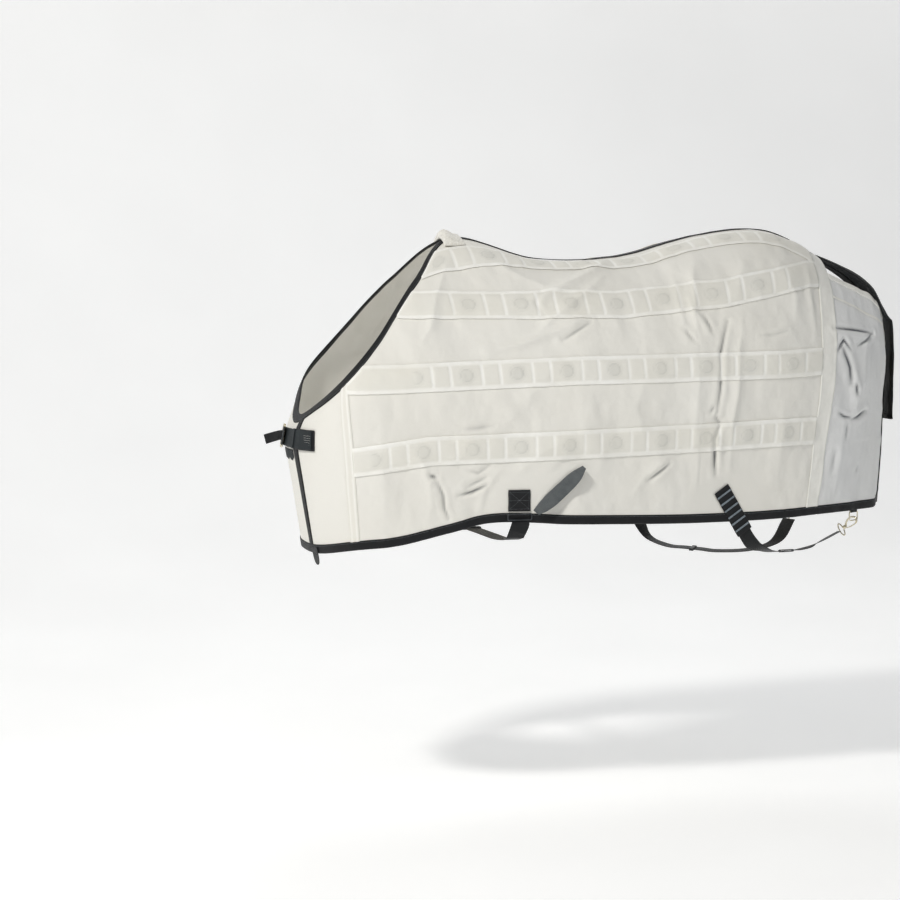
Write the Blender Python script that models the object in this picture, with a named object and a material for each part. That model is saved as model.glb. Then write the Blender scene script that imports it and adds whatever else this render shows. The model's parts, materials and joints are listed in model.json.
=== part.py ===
"""A horse's fly sheet at rest in the shape it takes on the horse: metres, head toward -X, near side -Y."""

import math

import bmesh
import bpy
import numpy as np

# Cloth and tape
CLOTH = 0.0020
TAPE = 0.0012
CLEAR = 0.0004
INSET = 0.0002
HALF_SPLIT = 0.0003
EDGE_WIDTH = 0.024
SPINE_HALF = 0.012
FRONT_EDGE_WIDTH = 0.012
REAR_EDGE_WIDTH = 0.014
REAR_GAP = 0.0005
CELL = 0.072
CHEST_CELL = 0.036
THIN_ROW = 0.004
# Channels and magnets
MAGNET = 0.0014
MAGNET_GAP = 0.0004
MAGNET_RADIUS = 0.025
MAGNET_LINK = 0.006
CHANNEL_RISE = 0.0054
CHANNEL_THICK = 0.0017
# How far along the body each row of magnets reaches
MAGNET_REACH = (None, (-0.08, 0.90), (-0.17, 0.95), (-0.30, 0.95))
CHANNEL_LIP = 0.12
# Openings in the cloth
LAP = 0.45
SEAM_STATION = 2.0
SEAM_WIDTH = 0.028
WITHER = 5.0
MAIN_END = 10.0
FACING_WIDTH = 0.050
LAST = 13.0
# Webbing
WEB = 0.0018
CHEST_HEIGHT = -0.535
CHEST_WEB_WIDTH = 0.050
BILLET_WIDTH = 0.027
BELLY_WEB_WIDTH = 0.050
LEG_WEB_WIDTH = 0.038
LEG_PATCH_WIDTH = 0.050
CHEST_PATCH = 0.056
ELASTIC_TOP = -0.566
ELASTIC_LOW = 0.0014
WEB_HEIGHT = 0.0072
SEWN_ON_CLOTH = CLOTH + CLEAR + WEB / 2
SEWN_ON_PATCH = SEWN_ON_CLOTH + WEB + CLEAR
LOOP_WIRE = 0.0022
BAR_HEIGHT = WEB_HEIGHT + LOOP_WIRE + 0.0006 + WEB / 2
LOOP_AT = 0.042
LOOP_HALF = 0.014
LOOP_TALL = 0.031
KEEPER_AT = -0.052
BELLY_AT = 0.090
BELLY_LOW = -0.807
PATCH_LOW = 0.0032
# Leg straps: the routes are on the near side, and the off side turns them over
LEG_PATCH = ((0.672, -0.680), (0.748, -0.802))
LEG_START = (0.741, -0.791)
LEG_START_HEIGHT = 0.0014
LEG_PATCH_LOW = 0.0046
SLIDER_POINT = 18
NEAR_ROUTE = ((0.774, 0.304, -0.836), (0.815, 0.292, -0.856), (0.870, 0.238, -0.870),
              (0.910, 0.2087, -0.8733), (0.950, 0.1794, -0.8766), (0.990, 0.1501, -0.8799),
              (1.050, 0.122, -0.872))
TAB_AT = 1.150
OFF_SHIFT = -0.070
OFF_ROUTE = ((0.696, 0.310, -0.847), (0.722, 0.300, -0.888), (0.765, 0.262, -0.908),
             (0.804, 0.230, -0.911), (0.843, 0.198, -0.914), (0.882, 0.166, -0.917),
             (0.960, 0.118, -0.910), (1.040, 0.105, -0.886))
EYE_WIRE = 0.0018
EYE_HALF = 0.007
EYE_TALL = 0.0185
RING_WIRE = 0.0018
RING_HALF = 0.019
RING_TALL = 0.013
TAB_WIDTH = 0.026
TAB_TALL = 0.022
# Tail flap and wither pad
FLAP_LIFT = 0.0092
FLAP_BEND = 12.4
FLAP_TURN = -0.240
FLAP_END = -0.520
PAD_FRONT = -0.032
PAD_REAR = 0.026
PAD_HALF = 0.052
PAD_THICK = 0.011
PAD_CLEAR = 0.0016

BLACK = (0.010, 0.013, 0.016, 1)
WHITE = (0.78, 0.77, 0.72, 1)
CREAM = (0.86, 0.85, 0.80, 1)
GREY = (0.12, 0.12, 0.13, 1)
METAL = (0.72, 0.70, 0.62, 1)

# The horse's form as ribs from the top edge down to the hem. Each rib is its top, the handle
# that rounds it, its widest point and its hem, as (along, out from the middle, up).
RIBS = (
    ((-0.425, 0.000, -0.475), (-0.442, 0.000, -0.500), (-0.455, 0.000, -0.575), (-0.405, 0.000, -0.843)),
    ((-0.400, 0.100, -0.438), (-0.422, 0.115, -0.470), (-0.430, 0.120, -0.575), (-0.392, 0.110, -0.838)),
    ((-0.352, 0.195, -0.366), (-0.368, 0.222, -0.410), (-0.352, 0.228, -0.580), (-0.330, 0.210, -0.820)),
    ((-0.262, 0.190, -0.262), (-0.278, 0.245, -0.330), (-0.245, 0.268, -0.560), (-0.225, 0.262, -0.806)),
    ((-0.135, 0.110, -0.110), (-0.145, 0.215, -0.170), (-0.115, 0.290, -0.530), (-0.100, 0.290, -0.775)),
    ((0.000, 0.000, 0.000), (0.000, 0.100, -0.020), (0.020, 0.308, -0.510), (0.030, 0.308, -0.748)),
    ((0.240, 0.000, -0.058), (0.240, 0.190, -0.056), (0.240, 0.330, -0.500), (0.240, 0.335, -0.757)),
    ((0.480, 0.000, -0.054), (0.480, 0.200, -0.052), (0.480, 0.335, -0.490), (0.480, 0.335, -0.765)),
    ((0.720, 0.000, 0.004), (0.720, 0.195, 0.008), (0.700, 0.318, -0.470), (0.690, 0.312, -0.769)),
    ((0.930, 0.000, 0.020), (0.930, 0.165, 0.024), (0.880, 0.300, -0.450), (0.860, 0.295, -0.768)),
    ((1.088, 0.000, -0.047), (1.090, 0.120, -0.045), (1.035, 0.258, -0.440), (0.985, 0.270, -0.764)),
    ((1.175, 0.000, -0.085), (1.185, 0.070, -0.080), (1.150, 0.205, -0.420), (1.090, 0.232, -0.763)),
    ((1.250, 0.000, -0.130), (1.270, 0.050, -0.130), (1.256, 0.130, -0.400), (1.205, 0.165, -0.762)),
    ((1.284, 0.000, -0.178), (1.312, 0.030, -0.212), (1.308, 0.045, -0.400), (1.288, 0.055, -0.762)),
)
# Heights of the channels' upper and lower edges along the body, as (along, up)
ROW_1 = (((-0.20, -0.140), (0.40, -0.145), (0.70, -0.113), (0.95, -0.066)),
         ((-0.20, -0.213), (0.40, -0.216), (0.70, -0.188), (0.95, -0.138)))
ROW_2 = (((-0.30, -0.335), (0.25, -0.315), (0.85, -0.308), (1.05, -0.300)),
         ((-0.30, -0.408), (0.25, -0.388), (0.85, -0.382), (1.05, -0.374)))
ROW_3 = (((-0.34, -0.549), (-0.15, -0.520), (0.30, -0.508), (0.90, -0.494)),
         ((-0.34, -0.624), (-0.15, -0.595), (0.30, -0.583), (0.90, -0.568)))
ROW_0_OUT = (0.055, 0.125)

LINES = 15
TOP, BINDING, ROW_0, ROW_1_AT, ROW_2_AT, ROW_3_AT = 0, 1, 2, 4, 7, 10
HEM_BINDING, HEM = 13, 14

STATIONS = np.array(RIBS, float)
FLIP = np.array((1.0, -1.0, 1.0))


def clear_scene():
    for obj in list(bpy.data.objects):
        bpy.data.objects.remove(obj, do_unlink=True)


def material(name, colour):
    made = bpy.data.materials.get(name)
    if made is None:
        made = bpy.data.materials.new(name)
        made.use_nodes = True
        shader = made.node_tree.nodes["Principled BSDF"]
        shader.inputs["Base Color"].default_value = colour
        shader.inputs["Roughness"].default_value = 0.3 if "metal" in name else 0.8
        shader.inputs["Metallic"].default_value = 1.0 if "metal" in name else 0.0
    return made


def solid(name, points, faces, colour, slot, origin=(0, 0, 0)):
    """One closed body as its own object, with its origin where asked."""
    mesh = bpy.data.meshes.new(name)
    start = np.array(origin, float)
    mesh.from_pydata([tuple(np.array(p, float) - start) for p in points], [], faces)
    shape = bmesh.new()
    shape.from_mesh(mesh)
    bmesh.ops.recalc_face_normals(shape, faces=shape.faces)
    shape.to_mesh(mesh)
    shape.free()
    mesh.materials.append(material(slot + "_" + name, colour))
    made = bpy.data.objects.new(name, mesh)
    made.location = origin
    bpy.context.scene.collection.objects.link(made)
    return made


def unit(vector):
    return vector / max(np.linalg.norm(vector), 1e-12)


def station(index):
    """A rib by number. The ribs before the first are the other side's."""
    if index < 0:
        return STATIONS[-index] * FLIP
    if index >= len(STATIONS):
        return 2 * STATIONS[-1] - STATIONS[-2]
    return STATIONS[index]


def rib(s):
    """The four points of the rib at s, on a smooth curve through the stations."""
    at = min(math.floor(s), len(STATIONS) - 2)
    f = s - at
    a, b, c, d = (station(at + k) for k in (-1, 0, 1, 2))
    made = 0.5 * (2 * b + (c - a) * f + (2 * a - 5 * b + 4 * c - d) * f**2 + (3 * b - a - 3 * c + d) * f**3)
    if s >= WITHER:
        made[0, 1] = 0.0
    return made


def surf(s, v):
    """A point of the form: v is 0 at the top edge, 1 at the widest point and 2 at the hem."""
    top, handle, wide, hem = rib(s)
    if v > 1:
        return wide + (hem - wide) * (v - 1)
    low = wide + unit(wide - hem) * 0.45 * np.linalg.norm(wide - top)
    f = 1 - v
    return f**3 * top + 3 * f * f * v * handle + 3 * f * v * v * low + v**3 * wide


def normal(s, v):
    e = 0.02
    low, high = max(v - e, 0.0), min(v + e, 2.0)
    along = surf(min(s + e, LAST), v) - surf(s - e, v)
    down = surf(s, high) - surf(s, low)
    return unit(np.cross(along, down))


def at_level(vs, values, level):
    """Where values, which rise, reach the level."""
    return float(np.interp(level, values, vs))


def lines_of(s, start=0.0, edge=None):
    """The v of each line that crosses the rib at s, from the top edge to the hem."""
    vs = np.linspace(0.0, 2.0, 121)
    points = np.array([surf(s, v) for v in vs])
    run = np.concatenate([[0.0], np.cumsum(np.linalg.norm(np.diff(points, axis=0), axis=1))])
    x = surf(s, 1.0)[0]
    first = at_level(vs, vs, start)
    begin = float(np.interp(first, vs, run))
    wide = np.maximum.accumulate(points[:, 1])
    fall = np.maximum.accumulate(-points[:, 2])
    if edge is None:
        edge = float(np.interp(s, (4.3, 5.0), (EDGE_WIDTH, SPINE_HALF)))
    runs = [begin, begin + edge]
    pinched = s < 3.0 or start > 0.0
    for out in ROW_0_OUT:
        runs.append(begin if pinched else float(np.interp(out, wide + 1e-6 * run, run)))
    for row in (ROW_1, ROW_2, ROW_3):
        for line in row:
            height = float(np.interp(x, *zip(*line)))
            runs.append(float(np.interp(-height, fall + 1e-6 * run, run)))
    runs += [run[-1] - 0.020, run[-1]]
    rows = runs[:6] + [None] + runs[6:8] + [None] + runs[8:10] + [None] + runs[10:]
    for k, (a, b) in {6: (5, 7), 9: (8, 10), 12: (11, 13)}.items():
        rows[k] = 0.5 * (rows[a] + rows[b])
    for k in range(1, HEM_BINDING):
        rows[k] = max(rows[k], rows[k - 1] + (edge if k == 1 else THIN_ROW))
    for k in range(1, HEM_BINDING):
        last = HEM_BINDING - k
        rows[last] = min(rows[last], rows[last + 1] - THIN_ROW)
    return [float(np.interp(r, run, vs)) for r in rows]


def arc_table():
    ss = np.linspace(-1.0, LAST, 701)
    points = np.array([surf(abs(s), 1.2) * (FLIP if s < 0 else 1) for s in ss])
    steps = np.linalg.norm(np.diff(points, axis=0), axis=1)
    return ss, np.concatenate([[0.0], np.cumsum(steps)])


ARC_S, ARC = arc_table()


def arc_of(s):
    return float(np.interp(s, ARC_S, ARC))


def s_of(arc):
    return float(np.interp(arc, ARC, ARC_S))


def cuts(breaks, fine=0):
    """Columns between the breaks, evenly spaced and no wider than a cell; the first stretches are finer."""
    found = [breaks[0]]
    for k, (a, b) in enumerate(zip(breaks, breaks[1:])):
        steps = max(1, math.ceil((b - a) / (CHEST_CELL if k < fine else CELL) - 0.01))
        found += [a + (b - a) * (k + 1) / steps for k in range(steps)]
    return [s_of(arc) for arc in found]


def main_columns(side):
    """The columns of the body panel: the off one laps past the middle of the chest."""
    first = LAP if side < 0 else -LAP
    seam = arc_of(SEAM_STATION)
    end = arc_of(MAIN_END)
    front = arc_of(first)
    return cuts([front, front + FRONT_EDGE_WIDTH, seam - SEAM_WIDTH / 2, seam + SEAM_WIDTH / 2,
                 end - FACING_WIDTH, end], fine=2)


def rear_columns():
    end = arc_of(LAST)
    return cuts([arc_of(MAIN_END) + REAR_GAP, end - REAR_EDGE_WIDTH, end])


def rear_top(s):
    """Where the rear panel's top edge crosses the rib, as a v."""
    out = float(np.interp(s, (MAIN_END, LAST), (0.118, 0.030)))
    vs = np.linspace(0.0, 1.0, 101)
    return float(np.interp(out, [surf(s, v)[1] for v in vs], vs))


class Grid:
    """One side's net of points and normals, which every layer on it shares."""

    def __init__(self, side, columns, rear=False):
        self.side = side
        self.columns = columns
        self.points = []
        self.normals = []
        for s in columns:
            if rear:
                rows = lines_of(s, rear_top(s), REAR_EDGE_WIDTH)
            else:
                rows = lines_of(abs(s))
            self.points.append([self.place(s, v) for v in rows])
            self.normals.append([self.lean(s, v) for v in rows])

    def place(self, s, v):
        point = surf(abs(s), v) + np.array((0, HALF_SPLIT, 0))
        sign = self.side * (-1 if s < 0 else 1)
        return point * (1, sign, 1)

    def lean(self, s, v):
        sign = self.side * (-1 if s < 0 else 1)
        return normal(abs(s), v) * (1, sign, 1)

    def at(self, i, j):
        """A point and normal between the lines, on the flat halves of each cell."""
        a, b = min(int(i), len(self.points) - 2), min(int(j), LINES - 2)
        f, g = i - a, j - b
        corners = ((a, b), (a + 1, b), (a, b + 1), (a + 1, b + 1))
        if f >= g:
            weights = (1 - f, f - g, 0.0, g)
        else:
            weights = (1 - g, 0.0, g - f, f)
        point = sum(w * self.points[p][q] for w, (p, q) in zip(weights, corners))
        lean = sum(w * self.normals[p][q] for w, (p, q) in zip(weights, corners))
        return point, unit(lean)


def inset_point(grid, edges, i, j):
    """A corner of a patch, moved in from the patch's border."""
    point = grid.points[i][j].copy()
    for di, dj in ((1, 0), (0, 1)):
        ahead = ((i, j), (i + di, j + dj)) in edges
        behind = ((i - di, j - dj), (i, j)) in edges
        if ahead and not behind:
            point += INSET * unit(grid.points[i + di][j + dj] - grid.points[i][j])
        if behind and not ahead:
            point += INSET * unit(grid.points[i - di][j - dj] - grid.points[i][j])
    return point


def patch(name, grid, cells, low, high, colour, slot, origin=(0, 0, 0)):
    """A layer of cloth over some cells of a grid, from low to high off the form."""
    cells = sorted(cells)
    edges = {}
    for i, j in cells:
        for edge in (((i, j), (i + 1, j)), ((i, j + 1), (i + 1, j + 1)),
                     ((i, j), (i, j + 1)), ((i + 1, j), (i + 1, j + 1))):
            edges[edge] = edges.get(edge, 0) + 1
    corners = sorted({corner for edge in edges for corner in edge})
    index = {corner: k for k, corner in enumerate(corners)}
    count = len(corners)
    points = []
    for height in (low, high):
        for i, j in corners:
            points.append(inset_point(grid, edges, i, j) + height * grid.normals[i][j])
    faces = []
    for i, j in cells:
        a, b, c, d = (index[q] for q in ((i, j), (i + 1, j), (i + 1, j + 1), (i, j + 1)))
        faces += [(a, b, c), (a, c, d), (a + count, c + count, b + count), (a + count, d + count, c + count)]
    for (p, q), uses in sorted(edges.items()):
        if uses == 1:
            a, b = index[p], index[q]
            faces += [(a, b, b + count), (a, b + count, a + count)]
    return solid(name, points, faces, colour, slot, origin)


def block(i0, i1, j0, j1):
    return {(i, j) for i in range(i0, i1) for j in range(j0, j1)}


def sweep(name, sections, colour, slot, origin=(0, 0, 0), closed=False, turn=None):
    """A body through sections of equal length. From point `turn` on, the faces split the other way."""
    sections = [np.array(section, float) for section in sections]
    size = len(sections[0])
    points = np.concatenate(sections)
    faces = []
    count = len(sections)
    for k in range(count if closed else count - 1):
        a, b = k * size, ((k + 1) % count) * size
        for m in range(size):
            n = (m + 1) % size
            if turn is None or m < turn:
                faces += [(a + m, a + n, b + n), (a + m, b + n, b + m)]
            else:
                faces += [(a + m, a + n, b + m), (a + n, b + n, b + m)]
    if not closed:
        faces.append(tuple(range(size)))
        faces.append(tuple(range((count - 1) * size, count * size)))
    return solid(name, points, faces, colour, slot, origin)


def tangents(points):
    points = np.array(points, float)
    ahead = np.vstack([points[1:], points[-1:]])
    behind = np.vstack([points[:1], points[:-1]])
    return np.array([unit(v) for v in ahead - behind])


def ribbon(name, points, normals, width, thick, colour=BLACK, slot="webbing", origin=(0, 0, 0)):
    """Flat webbing along its route: each point is the middle of the strap's thickness."""
    widths = np.broadcast_to(width, (len(points),))
    sections = []
    for point, lean, along, wide in zip(points, normals, tangents(points), widths):
        lean = unit(np.array(lean, float) - np.dot(lean, along) * along)
        across = unit(np.cross(lean, along))
        a = 0.5 * wide * across
        b = 0.5 * thick * lean
        sections.append([point - a - b, point + a - b, point + a + b, point - a + b])
    return sweep(name, sections, colour, slot, origin)


def smooth(points, per=4):
    """More points on a smooth curve through the given ones."""
    points = np.array(points, float)
    ends = np.vstack([2 * points[0] - points[1], points, 2 * points[-1] - points[-2]])
    found = []
    for k in range(1, len(ends) - 2):
        a, b, c, d = ends[k - 1:k + 3]
        for f in np.linspace(0, 1, per, endpoint=False):
            found.append(0.5 * (2 * b + (c - a) * f + (2 * a - 5 * b + 4 * c - d) * f**2
                                + (3 * b - a - 3 * c + d) * f**3))
    found.append(points[-1])
    return np.array(found)


def wire_ring(name, centre, across, up, half_x, half_y, radius, thick, colour, slot,
              origin=(0, 0, 0), sides=6):
    """A closed ring of round wire, bent to a rounded rectangle."""
    across, up = unit(np.array(across, float)), unit(np.array(up, float))
    face = np.cross(across, up)
    path, outward = [], []
    for cx, cy, turn in ((1, 1, 0), (-1, 1, 90), (-1, -1, 180), (1, -1, 270)):
        for extra in (0, 45, 90):
            angle = math.radians(turn + extra)
            spoke = math.cos(angle) * across + math.sin(angle) * up
            corner = np.array(centre, float) + cx * (half_x - radius) * across + cy * (half_y - radius) * up
            path.append(corner + radius * spoke)
            outward.append(spoke)
    sections = []
    for point, spoke in zip(path, outward):
        ring = []
        for m in range(sides):
            angle = 2 * math.pi * m / sides
            ring.append(point + thick * (math.cos(angle) * spoke + math.sin(angle) * face))
        sections.append(ring)
    return sweep(name, sections, colour, slot, origin, closed=True)


def rod(name, points, radius, colour, slot, origin=(0, 0, 0), sides=8, side_hint=(0, 0, 1)):
    """A round bar along a path, with one radius or one for each point."""
    radii = np.broadcast_to(radius, (len(points),))
    sections = []
    for point, along, size in zip(points, tangents(points), radii):
        a = unit(np.cross(along, side_hint))
        b = np.cross(along, a)
        sections.append([point + size * (math.cos(t) * a + math.sin(t) * b)
                         for t in np.linspace(0, 2 * math.pi, sides, endpoint=False)])
    return sweep(name, sections, colour, slot, origin)


def name_of(side):
    return "near" if side < 0 else "off"


def sheets(side):
    """Body and rear panels with their bindings, seams and facings."""
    grid = Grid(side, main_columns(side))
    rear = Grid(side, rear_columns(), rear=True)
    tag = name_of(side)
    last = len(grid.columns) - 1
    end = len(rear.columns) - 1
    wither = max(i for i, s in enumerate(grid.columns) if s < 5.0)
    low, high = CLOTH + CLEAR, CLOTH + CLEAR + TAPE
    patch("body_panel_" + tag, grid, block(0, last, TOP, HEM), 0, CLOTH, WHITE, "mesh")
    patch("rear_panel_" + tag, rear, block(0, end, TOP, HEM), 0, CLOTH, WHITE, "mesh")
    around = block(0, wither, TOP, BINDING) | block(0, 1, TOP, HEM) | block(0, last, HEM_BINDING, HEM)
    patch("edge_binding_" + tag, grid, around, low, high, BLACK, "binding")
    around = block(end - 1, end, BINDING, HEM) | block(0, end, HEM_BINDING, HEM)
    patch("rear_binding_" + tag, rear, around, low, high, BLACK, "binding")
    patch("rear_top_binding_" + tag, rear, block(0, end, TOP, BINDING), low, high, CREAM, "tape")
    seam = min(range(last), key=lambda i: abs(arc_of(grid.columns[i]) + SEAM_WIDTH / 2 - arc_of(SEAM_STATION)))
    patch("shoulder_seam_" + tag, grid, block(seam, seam + 1, BINDING, HEM_BINDING), low, high, CREAM, "tape")
    patch("rear_facing_" + tag, grid, block(last - 1, last, BINDING, HEM_BINDING), low, high, CREAM, "tape")
    return grid, rear, seam, wither


def full_columns(grid, first, last, row):
    """The columns between which a channel has its full height."""
    found = [i for i in range(first, last + 1)
             if np.linalg.norm(grid.points[i][row + 1] - grid.points[i][row]) > 0.045]
    return found[0], found[-1]


def channel(name, grid, first, last, row):
    """A stitched channel: its edges lie on the panel and its middle stands over the magnets."""
    sections = []
    low = CLOTH + CLEAR
    for i in range(first, last + 1):
        along = grid.points[min(i + 1, last)][row] - grid.points[i][row]
        shift = INSET * unit(along) if i == first else 0
        if i == last:
            shift = INSET * unit(grid.points[i - 1][row] - grid.points[i][row])
        upper, lower = [], []
        for f, height in ((0.004, low), (CHANNEL_LIP, CHANNEL_RISE), (1 - CHANNEL_LIP, CHANNEL_RISE),
                          (0.996, low)):
            point, lean = grid.at(i, row + f)
            lower.append(point + shift + height * lean)
            upper.append(point + shift + (height + CHANNEL_THICK) * lean)
        sections.append(lower + upper[::-1])
    return sweep(name, sections, CREAM, "tape", turn=len(sections[0]) // 2)


def magnet_widths():
    """Half-widths of the magnet strip over one cell: as (place along the cell, half-width)."""
    turn = [math.radians(a) for a in (0, 50, 130, 180)]
    found = []
    for angle in turn:
        half = max(MAGNET_RADIUS * math.sin(angle), MAGNET_LINK)
        found.append((-MAGNET_RADIUS * math.cos(angle), half))
    return found


def magnets(name, grid, first, last, row):
    """Round magnets joined by a carrier tape, one in every other cell of the channel."""
    sections = []
    low = CLOTH + CLEAR + MAGNET_GAP

    def section(i, half):
        height = np.linalg.norm(grid.at(i, row + 1)[0] - grid.at(i, row)[0])
        lower, upper = [], []
        for f in (0.5 - half / height, 0.5 + half / height):
            point, lean = grid.at(i, row + f)
            lower.append(point + low * lean)
            upper.append(point + (low + MAGNET) * lean)
        sections.append([lower[0], lower[1], upper[1], upper[0]])

    for i in range(first, last):
        wide = np.linalg.norm(grid.at(i + 1, row + 0.5)[0] - grid.at(i, row + 0.5)[0])
        section(i + (0.10 if i == first else 0.0), MAGNET_LINK)
        if (i - first) % 2 == 0:
            for along, half in magnet_widths():
                section(i + 0.5 + along / wide, half)
    section(last - 0.10, MAGNET_LINK)
    return sweep(name, sections, GREY, "magnet")


def rows_of(grid, seam, side):
    tag = name_of(side)
    last = len(grid.columns) - 2
    for k, row in enumerate((ROW_0, ROW_1_AT, ROW_2_AT, ROW_3_AT)):
        first, end = full_columns(grid, seam + 1, last, row)
        channel(f"channel_{k}_{tag}", grid, first, end, row)
        if k == 0:
            continue
        reach = MAGNET_REACH[k]
        held = [i for i in range(first, end + 1) if reach[0] < grid.points[i][row][0] < reach[1]]
        magnets(f"magnets_{k}_{tag}", grid, held[0], held[-1], row)


def spine_tape(near, off, wither):
    """The black tape along the top line, across both body panels."""
    low, high = CLOTH + 2 * CLEAR, CLOTH + 2 * CLEAR + TAPE
    sections = []
    shift = len(off.columns) - len(near.columns)
    for i in range(wither + 1, len(near.columns)):
        lower, upper = [], []
        for grid, j, k in ((near, BINDING, i), (near, TOP, i), (off, BINDING, i + shift)):
            point, lean = grid.points[k][j].copy(), grid.normals[k][j].copy()
            if j == TOP:
                point[1] = 0.0
                lean = unit(lean * (1, 0, 1))
            lower.append(point + low * lean)
            upper.append(point + high * lean)
        sections.append(lower + upper[::-1])
    return sweep("spine_tape", sections, BLACK, "binding", turn=len(sections[0]) // 2)


class Net:
    """A small net of points and normals of its own, used like a grid."""

    def __init__(self, points, normals):
        self.points = points
        self.normals = normals


def v_at_out(s, out):
    vs = np.linspace(0.0, 1.0, 81)
    return float(np.interp(out, [surf(s, v)[1] for v in vs], vs))


def v_at_height(s, z):
    vs = np.linspace(0.0, 2.0, 121)
    return float(np.interp(-z, np.maximum.accumulate([-surf(s, v)[2] for v in vs]), vs))


def on_side(side, x, z, height=0.0):
    """The form's point and normal on one side, by where it lies along and up. It goes on below the hem."""
    s = float(np.interp(x, STATIONS[:, 2, 0], np.arange(len(STATIONS))))
    for _ in range(12):
        v = v_at_height(s, z)
        s = min(max(s + (x - surf(s, v)[0]) * 3.5, 2.2), LAST)
    lean = normal(s, v) * (1, side, 1)
    below = np.array((0.0, 0.0, min(z - surf(s, 2.0)[2], 0.0)))
    return surf(s, v) * (1, side, 1) + below + height * lean, lean


def on_chest(run, z, height=0.0):
    """The same on the chest, by the run from its middle toward the off side."""
    s = s_of(arc_of(0.0) + abs(run))
    v = v_at_height(s, z)
    sign = 1 if run > 0 else -1
    lean = normal(s, v) * (1, sign, 1)
    return surf(s, v) * (1, sign, 1) + height * lean, lean


def flap_net():
    """The tail flap's net: over the dock on the form, then straight down behind it."""
    shares = (-1.0, -0.74, -0.35, 0.0, 0.35, 0.74, 1.0)
    points, normals = [], []
    first = s_of(arc_of(MAIN_END) + 0.0012)
    for k, s in enumerate(np.linspace(first, FLAP_BEND, 6)):
        half = 0.040 + 0.004 * k
        lift = FLAP_LIFT * min(k / 3.0, 1.0)
        row = [(abs(f) * half, np.sign(f), normal(s, v_at_out(s, abs(f) * half))) for f in shares]
        points.append([surf(s, v_at_out(s, out)) * (1, 0, 1) + np.array((0, out * sign, 0))
                       + lift * lean * (1, sign, 1) for out, sign, lean in row])
        normals.append([lean * (1, sign, 1) for out, sign, lean in row])
    corner = points[-1][3]
    drops = list(np.linspace(FLAP_TURN, FLAP_END + REAR_EDGE_WIDTH, 5)) + [FLAP_END]
    for k, z in enumerate(drops):
        half = 0.062 + 0.003 * k
        x = max(surf(LAST, v_at_height(LAST, z))[0] + FLAP_LIFT + 0.006, corner[0] + 0.012)
        points.append([np.array((x - 0.03 * abs(f) * half, f * half, z)) for f in shares])
        normals.append([unit(np.array((1.0, 0.3 * f, 0.0))) for f in shares])
    return Net(points, normals)


def tail_flap():
    net = flap_net()
    hinge = (net.points[0][3][0], 0.0, net.points[0][3][2] + 0.0042)
    last = len(net.points) - 1
    patch("tail_flap", net, block(0, last, 0, 6), 0, CLOTH, GREY, "mesh", hinge)
    border = block(0, last, 0, 1) | block(0, last, 5, 6) | block(last - 1, last, 0, 6)
    low = CLOTH + CLEAR
    patch("tail_flap_binding", net, border, low, low + TAPE, BLACK, "binding", hinge)


def wither_pad():
    """The fleece pad over the front end of the top line."""
    xs = np.linspace(PAD_FRONT, PAD_REAR, 6)
    ys = np.linspace(-PAD_HALF, PAD_HALF, 9)
    low, high = [], []
    for x in xs:
        s = 5.0 + max(x, 0.0) / 0.240
        rise = PAD_THICK + (0.014 if x < 0 else 0.0)
        low.append([])
        high.append([])
        for y in ys:
            point = surf(s, v_at_out(s, abs(y)))
            z = point[2] + PAD_CLEAR
            edge = 1 - (abs(y) / PAD_HALF) ** 4 * 0.5
            low[-1].append(np.array((x, y, z)))
            high[-1].append(np.array((x, y, z + rise * edge)))
    sections = [a + b[::-1] for a, b in zip(low, high)]
    sweep("wither_pad", sections, CREAM, "fleece")


def band_loop(name, centre, along, across, up, half_across, half_up, width, thick, colour, slot,
              origin=None):
    """A flat band closed round a strap: width runs along the strap."""
    sections = []
    corners = ((1, 1), (-1, 1), (-1, -1), (1, -1))
    for a, b in corners:
        section = []
        for side, grow in ((-1, 0), (1, 0), (1, 1), (-1, 1)):
            point = (np.array(centre) + 0.5 * width * side * along
                     + a * (half_across + grow * thick) * across + b * (half_up + grow * thick) * up)
            section.append(point)
        sections.append(section)
    return sweep(name, sections, colour, slot, tuple(centre) if origin is None else origin, closed=True)


def around(centre, arm, lean, radius, start, end, steps=5):
    """Points round a bar, from one angle to another, measured from arm toward lean."""
    return [centre + radius * (math.cos(t) * arm + math.sin(t) * lean)
            for t in np.radians(np.linspace(start, end, steps))]


def along_chest(runs, heights):
    heights = np.broadcast_to(heights, (len(runs),))
    found = [on_chest(run, CHEST_HEIGHT, height) for run, height in zip(runs, heights)]
    return [p for p, _ in found], [n for _, n in found]


def perpendicular(points, up):
    """Normals of a strap whose width runs along up."""
    return [unit(np.cross(along, up)) for along in tangents(points)]


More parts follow.
